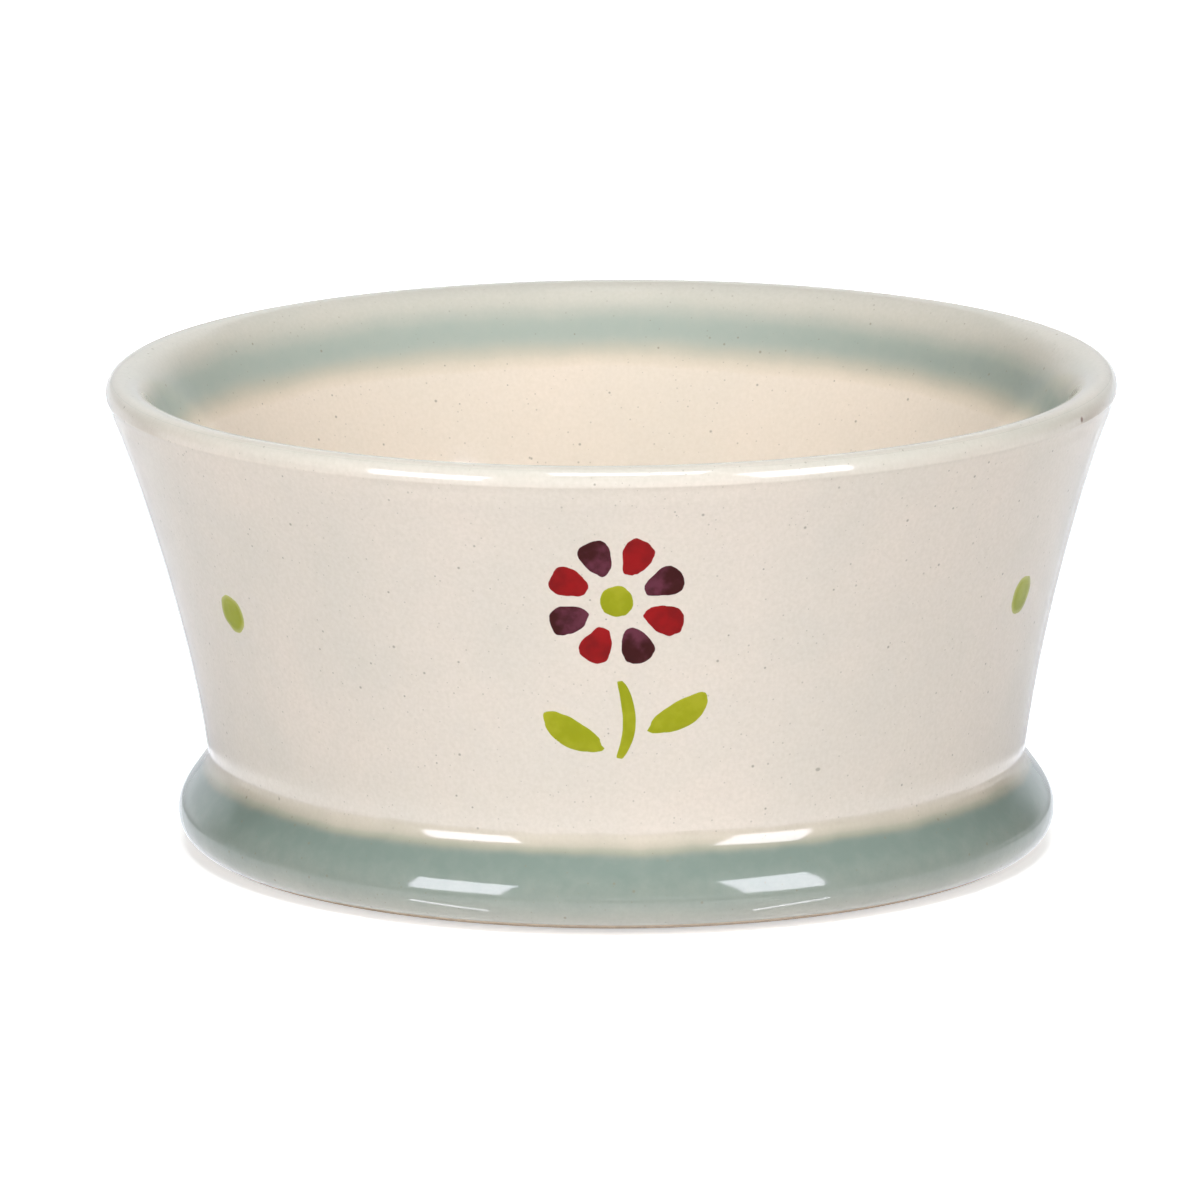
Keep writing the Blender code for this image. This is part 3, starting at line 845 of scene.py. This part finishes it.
def along_run(tree, run, width, stops):
    """A smooth value from nought to one along a run, through stops given in millimetres of the run."""
    share = add(tree, "ShaderNodeMath", {0: run, 1: 1 / width}, operation="MULTIPLY")
    node = add(tree, "ShaderNodeFloatCurve", {"Value": share})
    points = node.mapping.curves[0].points
    for point, stop in zip(points, (stops[0], stops[-1])):
        point.location = (stop[0] * MM / width, stop[1])
    for distance, value in stops[1:-1]:
        points.new(distance * MM / width, value)
    node.mapping.update()
    return node


def slip_under_glaze(code, thick_code, sag, bounce_warmth, width, cover_stops, seep_stops):
    """Slip brushed on raw clay and glazed over: its edges run softly into the cream and its tone clouds."""

    def build(tree, place):
        run = add(tree, "ShaderNodeAttribute", attribute_name="slip_run").outputs["Fac"]
        stray = add(tree, "ShaderNodeTexNoise", {"Vector": place, "Scale": 1 / STRAY_SIZE, "Detail": 3.0})
        low, high = STRAY_NOISE
        shift = add(tree, "ShaderNodeMapRange", {0: stray, 1: low, 2: high, 3: -SLIP_STRAY, 4: SLIP_STRAY})
        across = add(tree, "ShaderNodeSeparateXYZ", {0: place}).outputs["X"]
        to_right = add(tree, "ShaderNodeMapRange", {0: across, 1: SAG_ACROSS[0], 2: SAG_ACROSS[1]})
        sagged = add(tree, "ShaderNodeMath", {0: to_right, 1: -sag, 2: shift}, operation="MULTIPLY_ADD")
        ragged = add(tree, "ShaderNodeMath", {0: run, 1: sagged}, operation="ADD")
        cover = along_run(tree, ragged, width, cover_stops)
        seep = along_run(tree, ragged, width, seep_stops)
        mottle = add(tree, "ShaderNodeTexNoise", {"Vector": place, "Scale": 1 / MOTTLE_SIZE, "Detail": 3.0})
        mottles = {0: mottle, 1: NOISE_LOW, 2: NOISE_HIGH, 3: MOTTLE_LEAST, 4: 1.0}
        thick = add(tree, "ShaderNodeMapRange", mottles)
        covered = add(tree, "ShaderNodeMath", {0: cover, 1: thick}, operation="MULTIPLY")
        # Inside the bowl the cream under the slip carries the same painted warm bounce light
        cream = cream_clay(tree, place, run, bounce_warmth)
        tones = {0: to_right, 6: linear(code), 7: linear(thick_code)}
        body = add(tree, "ShaderNodeMix", tones, data_type="RGBA")
        slip = add(tree, "ShaderNodeMix", {0: covered, 6: cream, 7: body}, data_type="RGBA")
        haloed = add(tree, "ShaderNodeMix", {0: seep, 6: slip, 7: linear(SLIP_HALO)}, data_type="RGBA")
        return speckled(tree, place, haloed), *clear_glaze(tree, place)

    return build


def brushed_colour(dark, light, tip_shift, rim, rim_start=0.80, pool=0.0):
    """Brushed underglaze colour: streaky where the brush ran thin, paler at its rim, pooled at its turn."""

    def build(tree, place):
        along = add(tree, "ShaderNodeAttribute", attribute_name="stroke_along").outputs["Fac"]
        edge = add(tree, "ShaderNodeAttribute", attribute_name="stroke_edge").outputs["Fac"]
        streak = add(tree, "ShaderNodeTexNoise", {"Vector": place, "Scale": 1 / STREAK_SIZE, "Detail": 3.0})
        level = -0.5 * tip_shift
        lean = add(tree, "ShaderNodeMath", {0: along, 1: tip_shift, 2: level}, operation="MULTIPLY_ADD")
        mixed = add(tree, "ShaderNodeMath", {0: streak, 1: lean}, operation="ADD")
        low, high = STREAK_NOISE
        thin = add(tree, "ShaderNodeMapRange", {0: mixed, 1: low, 2: high}, interpolation_type="SMOOTHSTEP")
        colour = add(tree, "ShaderNodeMix", {0: thin, 6: linear(dark), 7: linear(light)}, data_type="RGBA")
        off_ring = add(tree, "ShaderNodeMath", {0: edge, 1: POOL_RING}, operation="SUBTRACT")
        far = add(tree, "ShaderNodeMath", {0: off_ring}, operation="ABSOLUTE")
        near, out = POOL_SIDES
        ring = add(tree, "ShaderNodeMapRange", {0: far, 1: near, 2: out, 3: pool, 4: 0.0})
        start, end = POOL_OPEN
        ring_open = add(tree, "ShaderNodeMapRange", {0: along, 1: start, 2: end, 3: 1.0, 4: 0.0})
        pooled = add(tree, "ShaderNodeMath", {0: ring, 1: ring_open}, operation="MULTIPLY")
        colour = add(tree, "ShaderNodeMix", {0: pooled, 6: colour, 7: linear(dark)}, data_type="RGBA")
        fades = {0: edge, 1: rim_start, 2: 1.0}
        soft = add(tree, "ShaderNodeMapRange", fades, interpolation_type="SMOOTHSTEP")
        colour = add(tree, "ShaderNodeMix", {0: soft, 6: colour, 7: linear(rim)}, data_type="RGBA")
        return colour, *clear_glaze(tree, place)

    return build


def bare_biscuit(tree, place):
    """Wiped foot: buff fired clay without glaze, dull and slightly sandy."""
    sand = add(tree, "ShaderNodeTexNoise", {"Vector": place, "Scale": 1 / SAND_SIZE, "Detail": 4.0})
    tone = add(tree, "ShaderNodeMapRange", {0: sand, 1: NOISE_LOW, 2: NOISE_HIGH})
    tones = {0: tone, 6: linear(BUFF_CLAY_DARK), 7: linear(BUFF_CLAY)}
    colour = add(tree, "ShaderNodeMix", tones, data_type="RGBA")
    bump = add(tree, "ShaderNodeBump", {"Height": sand, "Strength": SAND_STRENGTH, "Distance": SAND_DEPTH})
    least, most = BISCUIT_ROUGHNESS
    rough = add(tree, "ShaderNodeMapRange", {0: sand, 1: NOISE_LOW, 2: NOISE_HIGH, 3: least, 4: most})
    return colour, bump.outputs["Normal"], rough


RIM_SLIP_WIDTH = RIM_LOW_SEAM - RIM_TOP_SEAM
FOOT_SLIP_WIDTH = WAIST_SEAM - BASE_SEAM
CREAM_GLAZE = finish_material("clear_glaze_on_cream_earthenware", glaze_over_clay)
BARE_CLAY = finish_material("bare_biscuit_earthenware", bare_biscuit)
RIM_SLIP_GLAZE = finish_material(
    "blue_grey_slip_inside_rim",
    slip_under_glaze(
        RIM_SLIP, RIM_SLIP_THICK, RIM_SLIP_SAG, PAINTED_BOUNCE_WARMTH, RIM_SLIP_WIDTH, RIM_SLIP_COVER, RIM_SLIP_SEEP
    ),
)
FOOT_SLIP_GLAZE = finish_material(
    "blue_grey_slip_on_foot",
    slip_under_glaze(FOOT_SLIP, FOOT_SLIP, 0.0, 0.0, FOOT_SLIP_WIDTH, FOOT_SLIP_COVER, FOOT_SLIP_SEEP),
)
PLUM_STROKE = finish_material("plum_underglaze_stroke", brushed_colour("452223", "693746", -0.35, "6E4A4E"))
RED_STROKE = finish_material("red_underglaze_stroke", brushed_colour("9D2123", "872022", 0.3, "A84A46"))
GREEN_STROKE = finish_material("green_underglaze_stroke", brushed_colour("9CA122", "AAAB2D", 0.3, "B7B63B"))
GREEN_DAB = finish_material(
    "green_underglaze_dab", brushed_colour("989F20", "A6AA38", 0.2, "C3C17C", rim_start=0.62, pool=0.9)
)


# The pieces, each standing for its own CAD node

def take_place(piece, node):
    """Puts a piece in its node's place."""
    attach(piece, "root")
    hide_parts(node)


TURNED_CLAY = turned_clay_tree()
PAINTED_STROKE = painted_stroke_tree()

bowl_path, rim_run = bowl_section()
glazed_bowl = turned("glazed_bowl", bowl_path, CREAM_GLAZE, run_start=rim_run)
take_place(glazed_bowl, "bowl")
foot_path = foot_ring_section()
glazed_foot = turned("glazed_foot", foot_path, CREAM_GLAZE, run_start=rim_run, bare_below=FOOT_SLIP_BASE)
take_place(glazed_foot, "foot_ring")
rim_slip = turned("rim_slip", slip_section(RIM_TOP_SEAM, RIM_LOW_SEAM), RIM_SLIP_GLAZE)
take_place(rim_slip, "rim_band")
foot_slip = turned("foot_slip", slip_section(BASE_SEAM, WAIST_SEAM), FOOT_SLIP_GLAZE)
take_place(foot_slip, "foot_band")

# One sprig as the CAD source lays it out, in millimetres from the sprig's middle
BLOOM_RISE = 4.5
PETAL_COUNT = 8
PETAL_START = 2.7
PETAL_LENGTH = 4.4
PETAL_WIDTH = 3.3
CENTRE_DIAMETER = 3.6
STEM_LENGTH = 9.0
STEM_WIDTH = 1.4
STEM_SWAY = 1.2
STEM_GAP = 0.7
STEM_TOP = BLOOM_RISE - PETAL_START - PETAL_LENGTH - STEM_GAP
LEAF_LENGTH = 7.8
LEAF_WIDTH = 3.2
LEAF_TILT = 58.0
LEAF_GAP = 0.7
LEAF_BOW = 0.5
LEAF_DROPS = {"left": (-1, 7.6), "right": (1, 5.8)}
DOT_DIAMETER = 4.35
DOT_DROP = 0.8
DOT_TURN = 62.5
# Pointedness, taper towards the start and bow of each kind of stroke. A leaf bows to its own side
PETAL_FORM = (0.85, 0.30, 0.0)
ROUND_FORM = (1.0, 0.0, 0.0)
STEM_FORM = (0.42, 0.0, -STEM_SWAY)
LEAF_FORM = (1.35, 0.1)
# How uneven the strokes' edges are, and the seeds of their unevenness
STROKE_UNEVENNESS = 0.10
DOT_UNEVENNESS = 0.07
SEED_PER_STROKE = 3.1
SEED_PER_SPRIG = 11.7
STROKE_SEED = 2.3
DOT_SEED = 5.9
# How far each dot strays from its place: degrees round the wall and millimetres up
DOT_STRAYS = ((0.3, 0.45), (0.0, 0.0), (0.65, -0.43))
SPRIG_COUNT = 3
SPRIG_HEIGHT = 29.2 * MM
WALL_RADIUS = 44.7 * MM
WALL_SLOPE = 0.265


def sprig_strokes():
    """Each stroke's name ending, paint and shape: aside, rise, turn, length, width and form."""
    for i in range(PETAL_COUNT):
        turn = -360 * (i + 0.5) / PETAL_COUNT
        aside = -math.sin(math.radians(turn)) * PETAL_START
        rise = BLOOM_RISE + math.cos(math.radians(turn)) * PETAL_START
        paint = PLUM_STROKE if i % 2 else RED_STROKE
        yield f"petal_{i + 1}", paint, (aside, rise, turn, PETAL_LENGTH, PETAL_WIDTH, *PETAL_FORM)
    centre_start = BLOOM_RISE - CENTRE_DIAMETER / 2
    yield "centre", GREEN_STROKE, (0.0, centre_start, 0.0, CENTRE_DIAMETER, CENTRE_DIAMETER, *ROUND_FORM)
    yield "stem", GREEN_STROKE, (0.0, STEM_TOP, 180.0, STEM_LENGTH, STEM_WIDTH, *STEM_FORM)
    for name, (side, drop) in LEAF_DROPS.items():
        share = drop / STEM_LENGTH
        aside = ARCH * STEM_SWAY * share * (1 - share) + side * (STEM_WIDTH / 2 + LEAF_GAP)
        place = (aside, STEM_TOP - drop, -side * LEAF_TILT)
        yield f"leaf_{name}", GREEN_STROKE, (*place, LEAF_LENGTH, LEAF_WIDTH, *LEAF_FORM, LEAF_BOW * side)


def lay_stroke(node, paint, shape, azimuth, seed, unevenness):
    """Paints one stroke on the glazed bowl, in its node's place."""
    aside, rise, turn, length, width, pointedness, taper, bow = shape
    values = {
        "Wall": glazed_bowl,
        "Azimuth": math.radians(azimuth),
        "Height": SPRIG_HEIGHT,
        "Aside": aside * MM,
        "Rise": rise * MM,
        "Turn": math.radians(turn),
        "Length": length * MM,
        "Width": width * MM,
        "Pointedness": pointedness,
        "Taper": taper,
        "Bow": bow * MM,
        "Unevenness": unevenness,
        "Seed": seed,
        "Relief": STROKE_RELIEF,
        "Tuck": STROKE_TUCK,
        "Wall Radius": WALL_RADIUS,
        "Wall Slope": WALL_SLOPE,
        "Paint": paint,
    }
    stroke = plain_mesh(node + "_stroke", bpy.data.meshes.new(node + "_start"), *PAINTED_STROKE, values)
    take_place(stroke, node)


for sprig in range(SPRIG_COUNT):
    sprig_azimuth = 360 * sprig / SPRIG_COUNT
    for order, (ending, stroke_paint, stroke_shape) in enumerate(sprig_strokes()):
        node = f"sprig_{sprig + 1}_{ending}"
        seed = SEED_PER_STROKE * order + SEED_PER_SPRIG * sprig + STROKE_SEED
        lay_stroke(node, stroke_paint, stroke_shape, sprig_azimuth, seed, STROKE_UNEVENNESS)
    dot_turn, dot_rise = DOT_STRAYS[sprig]
    dot_start = dot_rise - DOT_DROP - DOT_DIAMETER / 2
    dot_shape = (0.0, dot_start, 0.0, DOT_DIAMETER, DOT_DIAMETER, *ROUND_FORM)
    dot_azimuth = sprig_azimuth + DOT_TURN + dot_turn
    lay_stroke(f"dot_{sprig + 1}", GREEN_DAB, dot_shape, dot_azimuth, DOT_SEED + sprig, DOT_UNEVENNESS)


# Camera at the photograph's viewing angle

CAMERA_LENS = 393.1
CAMERA_DISTANCE = 1.300
CAMERA_RISE = 12.07
CAMERA_ROLL = -0.124
CAMERA_TARGET = Vector((-1.60, 0.0, 24.03)) * MM

camera_data = bpy.data.cameras.new("camera")
camera_data.lens = CAMERA_LENS
camera_data.sensor_width = 36.0
camera_data.clip_end = 20.0
camera = new_object("camera", camera_data)
tilt = math.radians(CAMERA_RISE)
camera.location = CAMERA_TARGET + Vector((0, -math.cos(tilt), math.sin(tilt))) * CAMERA_DISTANCE
looking = Matrix.Rotation(math.pi / 2 - tilt, 3, "X") @ Matrix.Rotation(math.radians(CAMERA_ROLL), 3, "Z")
camera.rotation_euler = looking.to_euler()
bpy.context.scene.camera = camera


# Stage: a white table, soft boxes, and the paper, floor and dark room that the glaze reflects

ONE_FACE = [(0, 1, 2, 3)]


def stage_sheet(name, points, faces, material):
    """A sheet that belongs to the stage."""
    mesh = bpy.data.meshes.new(name)
    mesh.from_pydata(points, [], faces)
    mesh.materials.append(material)
    sheet = new_object(name, mesh)
    return sheet


def reflector(name, points, faces, material):
    """A sheet of the stage that shows in reflections only."""
    sheet = stage_sheet(name, points, faces, material)
    sheet.visible_camera = False
    sheet.visible_diffuse = False
    sheet.visible_transmission = False
    sheet.visible_shadow = False
    sheet.visible_volume_scatter = False


def level_corners(reach, front, back, height):
    """Corners of a level sheet that reaches equally far to both sides."""
    return [(-reach, front, height), (reach, front, height), (reach, back, height), (-reach, back, height)]


def strip_faces(steps):
    """Faces of a strip whose points come in pairs along it."""
    return [(2 * i, 2 * i + 2, 2 * i + 3, 2 * i + 1) for i in range(steps)]


def cleared_tree(thing):
    """The emptied node tree of a material or a world."""
    thing.use_nodes = True
    thing.node_tree.nodes.clear()
    return thing.node_tree


def seen_directly(tree):
    """One where a ray comes from the camera, a reflection or clear material, and nought for soft light."""
    path = add(tree, "ShaderNodeLightPath")
    shiny = add(
        tree,
        "ShaderNodeMath",
        {0: path.outputs["Is Camera Ray"], 1: path.outputs["Is Glossy Ray"]},
        operation="MAXIMUM",
    )
    clear = path.outputs["Is Transmission Ray"]
    return add(tree, "ShaderNodeMath", {0: shiny, 1: clear}, operation="MAXIMUM")


def glowing(name, code, strength):
    """A material that glows in one colour, as strongly as a number or a function of the place says."""
    material = bpy.data.materials.new(name)
    tree = cleared_tree(material)
    if callable(strength):
        place = add(tree, "ShaderNodeTexCoord").outputs["Object"]
        strength = strength(tree, add(tree, "ShaderNodeSeparateXYZ", {0: place}).outputs)
    glow = add(tree, "ShaderNodeEmission", {"Color": linear(code), "Strength": strength})
    add(tree, "ShaderNodeOutputMaterial", {0: glow})
    return material


TABLE_REACH = 6.0
TABLE_WHITE = "E8E8E8"
TABLE_LIFT = 0.55


def white_table():
    """Matt white table. Where it is seen it is lifted to white, and the object's shadow stays on it."""
    material = bpy.data.materials.new("matt_white_table")
    tree = cleared_tree(material)
    matt = add(tree, "ShaderNodeBsdfDiffuse", {"Color": linear(TABLE_WHITE)})
    lift = add(tree, "ShaderNodeEmission", {"Color": linear("FFFFFF"), "Strength": TABLE_LIFT})
    lifted = add(tree, "ShaderNodeAddShader", {0: matt, 1: lift})
    shown = add(tree, "ShaderNodeMixShader", {0: seen_directly(tree), 1: matt, 2: lifted})
    add(tree, "ShaderNodeOutputMaterial", {0: shown})
    return material


stage_sheet("table", level_corners(TABLE_REACH, -TABLE_REACH, TABLE_REACH, 0.0), ONE_FACE, white_table())

AMBIENT = 0.04
world = bpy.data.worlds.new("white_studio")
bpy.context.scene.world = world
world_tree = cleared_tree(world)
soft_light = add(world_tree, "ShaderNodeBackground", {"Color": linear("FFFFFF"), "Strength": AMBIENT})
white = add(world_tree, "ShaderNodeBackground", {"Color": linear("FFFFFF"), "Strength": 1.0})
world_mix = add(world_tree, "ShaderNodeMixShader", {0: seen_directly(world_tree), 1: soft_light, 2: white})
add(world_tree, "ShaderNodeOutputWorld", {0: world_mix})


def direction(azimuth, rise):
    """Unit direction at an azimuth and a rise in degrees."""
    a, e = math.radians(azimuth), math.radians(rise)
    return Vector((math.sin(a) * math.cos(e), -math.cos(a) * math.cos(e), math.sin(e)))


# What the glaze reflects: white paper, a pale sweep behind the object, a lit floor ahead and a dark room
ROOM_RADIUS = 2.6
ROOM_COLUMNS = 40
ROOM_ROWS = 8
FAINT_GLOW = 0.01
SWEEP_HALF = (22.0, 54.0)
SWEEP_RISE = (0.5, 3.0)
SWEEP_GLOW = 0.68
LOW_SWEEP_RADIUS = 0.15
LOW_SWEEP_TOP = 50.0 * MM
LOW_SWEEP_HALF = (46.0, 68.0)
LOW_SWEEP_ASIDE = -5.0
LOW_SWEEP_GLOW = 1.1
LOW_SWEEP_STEPS = 40
SWEEP_TOP = 36.0
ROOM_TOP = 82.0
PAPER_FRONT = -0.064
PAPER_BACK = 0.075
PAPER_FRONT_GLOW = 0.05
PAPER_GLOW = 0.92
PAPER_NEAR = (58.0 * MM, 61.0 * MM)
PAPER_NEAR_GLOW = 1.3
FLOOR_START = -0.20
FLOOR_FULL = -0.40
FLOOR_GLOW = 1.2
FLOOR_RISE = math.sin(math.radians(14))
FLOOR_SPREAD = (math.radians(40), math.radians(75))
SHEET_LIFT = 0.4 * MM


def room_wall(name, left, right, low, high, material):
    """A stretch of a wide dome between two azimuths and two elevations, shown in reflections only."""
    turns = [left + (right - left) * i / ROOM_COLUMNS for i in range(ROOM_COLUMNS + 1)]
    rises = [low + (high - low) * j / ROOM_ROWS for j in range(ROOM_ROWS + 1)]
    points = [direction(turn, rise) * ROOM_RADIUS for rise in rises for turn in turns]
    across = len(turns)
    starts = [j * across + i for j in range(ROOM_ROWS) for i in range(ROOM_COLUMNS)]
    faces = [(k, k + 1, k + across + 1, k + across) for k in starts]
    reflector(name, points, faces, material)


def table_cover(name, front, back, material):
    """A sheet just over the table between two distances, shown in reflections only."""
    reflector(name, level_corners(ROOM_RADIUS, front, back, SHEET_LIFT), ONE_FACE, material)


def paper_glow(tree, place):
    """The white paper as the glaze shows it, dimmer towards the front but bright close round the foot."""
    fades = {0: place["Y"], 1: PAPER_FRONT, 2: PAPER_BACK, 3: PAPER_FRONT_GLOW, 4: PAPER_GLOW}
    far = add(tree, "ShaderNodeMapRange", fades, interpolation_type="SMOOTHSTEP")
    flat = add(tree, "ShaderNodeCombineXYZ", {0: place["X"], 1: place["Y"], 2: 0.0})
    reach = add(tree, "ShaderNodeVectorMath", {0: flat}, operation="LENGTH").outputs["Value"]
    start, end = PAPER_NEAR
    near = add(tree, "ShaderNodeMapRange", {0: reach, 1: start, 2: end, 3: PAPER_NEAR_GLOW, 4: 0.0})
    return add(tree, "ShaderNodeMath", {0: far, 1: near}, operation="MAXIMUM")


def sweep_glow(tree, place, glow, half, aside):
    """A pale sweep of paper behind the object that fades out between two angles from its middle."""
    turn = add(tree, "ShaderNodeMath", {0: place["X"], 1: place["Y"]}, operation="ARCTAN2")
    centred = add(tree, "ShaderNodeMath", {0: turn, 1: math.radians(-aside)}, operation="ADD")
    away = add(tree, "ShaderNodeMath", {0: centred}, operation="ABSOLUTE")
    fades = {0: away, 1: math.radians(half[0]), 2: math.radians(half[1]), 3: glow, 4: FAINT_GLOW}
    return add(tree, "ShaderNodeMapRange", fades, interpolation_type="SMOOTHSTEP")


def low_sweep_glow(tree, place):
    """The glow of the low sweep close behind the object."""
    return sweep_glow(tree, place, LOW_SWEEP_GLOW, LOW_SWEEP_HALF, LOW_SWEEP_ASIDE)


def far_sweep_glow(tree, place):
    """The glow of the far sweep, which comes in upwards between two rises."""
    glow = sweep_glow(tree, place, SWEEP_GLOW, SWEEP_HALF, 0.0)
    low, high = (math.sin(math.radians(rise)) * ROOM_RADIUS for rise in SWEEP_RISE)
    share = add(tree, "ShaderNodeMapRange", {0: place["Z"], 1: low, 2: high})
    return add(tree, "ShaderNodeMath", {0: glow, 1: share}, operation="MULTIPLY")


def floor_glow(tree, place):
    """The lit floor ahead of the paper and the low wall behind it, fading upwards and to both sides."""
    front = add(tree, "ShaderNodeMath", {0: place["Y"], 1: -1.0}, operation="MULTIPLY")
    turn = add(tree, "ShaderNodeMath", {0: place["X"], 1: front}, operation="ARCTAN2")
    aside = add(tree, "ShaderNodeMath", {0: turn}, operation="ABSOLUTE")
    ahead = {0: place["Y"], 1: FLOOR_START, 2: FLOOR_FULL, 3: FAINT_GLOW, 4: FLOOR_GLOW}
    near = add(tree, "ShaderNodeMapRange", ahead)
    top = FLOOR_RISE * ROOM_RADIUS
    low = add(tree, "ShaderNodeMapRange", {0: place["Z"], 1: 0.0, 2: top, 3: 1.0, 4: FAINT_GLOW})
    start, end = FLOOR_SPREAD
    middle = add(tree, "ShaderNodeMapRange", {0: aside, 1: start, 2: end, 3: 1.0, 4: FAINT_GLOW})
    low_near = add(tree, "ShaderNodeMath", {0: near, 1: low}, operation="MULTIPLY")
    return add(tree, "ShaderNodeMath", {0: low_near, 1: middle}, operation="MULTIPLY")


dark = glowing("dark_room", "1C1C1D", 1.0)
floor_ahead = glowing("lit_floor_ahead", "F6FAFF", floor_glow)
room_wall("room_front", SWEEP_HALF[1] - 180, 180 - SWEEP_HALF[1], 0.0, SWEEP_TOP, floor_ahead)
far_sweep = glowing("pale_sweep", "F4F9FF", far_sweep_glow)
room_wall("room_back", 180 - SWEEP_HALF[1], 180 + SWEEP_HALF[1], 0.0, SWEEP_TOP, far_sweep)
low_sweep = glowing("pale_low_sweep", "F4F9FF", low_sweep_glow)
low_points = []
for i in range(LOW_SWEEP_STEPS + 1):
    low_turn = 180 - LOW_SWEEP_ASIDE + LOW_SWEEP_HALF[1] * (2 * i / LOW_SWEEP_STEPS - 1)
    low_foot = direction(low_turn, 0.0) * LOW_SWEEP_RADIUS
    low_points += [low_foot, low_foot + Vector((0, 0, LOW_SWEEP_TOP))]
reflector("low_sweep", low_points, strip_faces(LOW_SWEEP_STEPS), low_sweep)
room_wall("room_above", -180.0, 180.0, SWEEP_TOP, ROOM_TOP, dark)
table_cover("floor_ahead", -ROOM_RADIUS, PAPER_FRONT, floor_ahead)
table_cover("white_paper", PAPER_FRONT, ROOM_RADIUS, glowing("white_paper", "F4F8FF", paper_glow))

# Lamps: azimuth, rise, width and height in degrees as seen from the object, distance, and radiance
LAMPS = {
    "soft_box_left": (-40.5, 18.0, 25.0, 26.0, 0.45, 3.98),
    "soft_box_right": (42.0, 22.5, 22.0, 33.0, 0.45, 3.22),
    "top_box": (0.0, 65.0, 24.0, 24.0, 0.6, 10.2),
    "back_box": (180.0, 24.0, 40.0, 30.0, 0.6, 6.0),
}
BOX_GLOW = 10.6
SHOWN_IN_GLAZE = ("soft_box_left", "soft_box_right")
# Watts of a lamp for each square metre of it and each unit of radiance
LAMP_WATTS = 4
cloth = glowing("soft_box_cloth", "F5F2FF", BOX_GLOW)


def bright_card(name, middle, facing, half_width, half_height):
    """A flat stretch of bright cloth, shown in reflections only."""
    corners = ((-1, -1), (1, -1), (1, 1), (-1, 1))
    points = [middle + facing @ Vector((x * half_width, y * half_height, 0)) for x, y in corners]
    reflector(name, points, ONE_FACE, cloth)


for lamp_name, (azimuth, rise, width, height, distance, radiance) in LAMPS.items():
    middle = direction(azimuth, rise) * distance
    half_width = distance * math.tan(math.radians(width / 2))
    half_height = distance * math.tan(math.radians(height / 2))
    facing = (-middle).to_track_quat("-Z", "Y").to_matrix()
    lamp_data = bpy.data.lights.new(lamp_name, "AREA")
    lamp_data.shape = "RECTANGLE"
    lamp_data.size = 2 * half_width
    lamp_data.size_y = 2 * half_height
    lamp_data.energy = radiance * LAMP_WATTS * lamp_data.size * lamp_data.size_y
    lamp = new_object(lamp_name, lamp_data)
    lamp.location = middle
    lamp.rotation_euler = facing.to_euler()
    lamp.visible_glossy = False
    lamp.visible_camera = False
    if lamp_name in SHOWN_IN_GLAZE:
        bright_card(lamp_name + "_face", middle, facing, half_width, half_height)

# A small bright card just over the front lip gives the middle stretch of the lip's highlight
CARD_FROM_LIP = 0.045
CARD_RISE = 64.0
CARD_HALF_WIDTH = 0.018
CARD_HALF_HEIGHT = 0.0087
CARD_ASIDE = 0.0035
lip_front = Vector((CARD_ASIDE, -RIM_RADIUS, HEIGHT))
card_middle = lip_front + direction(0.0, CARD_RISE) * CARD_FROM_LIP
card_facing = (lip_front - card_middle).to_track_quat("-Z", "Y").to_matrix()
bright_card("lip_card", card_middle, card_facing, CARD_HALF_WIDTH, CARD_HALF_HEIGHT)

# Two thin strips of glowing cloth just over the table close to the foot, shown in reflections only, stand
# in for the soft boxes' sheen
# on the table: the foot's low round shows them as fine white painted highlights. Each has its outer and
# inner end: azimuth in degrees, distance from the axis and width
TABLE_GLINTS = {
    "glint_left": ((-30.0, 46.9 * MM, 0.8 * MM), (-17.5, 44.9 * MM, 0.4 * MM)),
    "glint_right": ((31.0, 47.2 * MM, 0.8 * MM), (18.5, 44.8 * MM, 0.4 * MM)),
}
GLINT_STEPS = 16
GLINT_LIFT = 1.1 * SHEET_LIFT
for glint_name, glint_ends in TABLE_GLINTS.items():
    outer_end, inner_end = (Vector(end) for end in glint_ends)
    glint_points = []
    for i in range(GLINT_STEPS + 1):
        turn, reach, width = outer_end.lerp(inner_end, i / GLINT_STEPS)
        for edge in (reach - width / 2, reach + width / 2):
            glint_points.append(direction(turn, 0.0) * edge + Vector((0, 0, GLINT_LIFT)))
    reflector(glint_name, glint_points, strip_faces(GLINT_STEPS), cloth)

bpy.context.scene.view_settings.view_transform = "Standard"
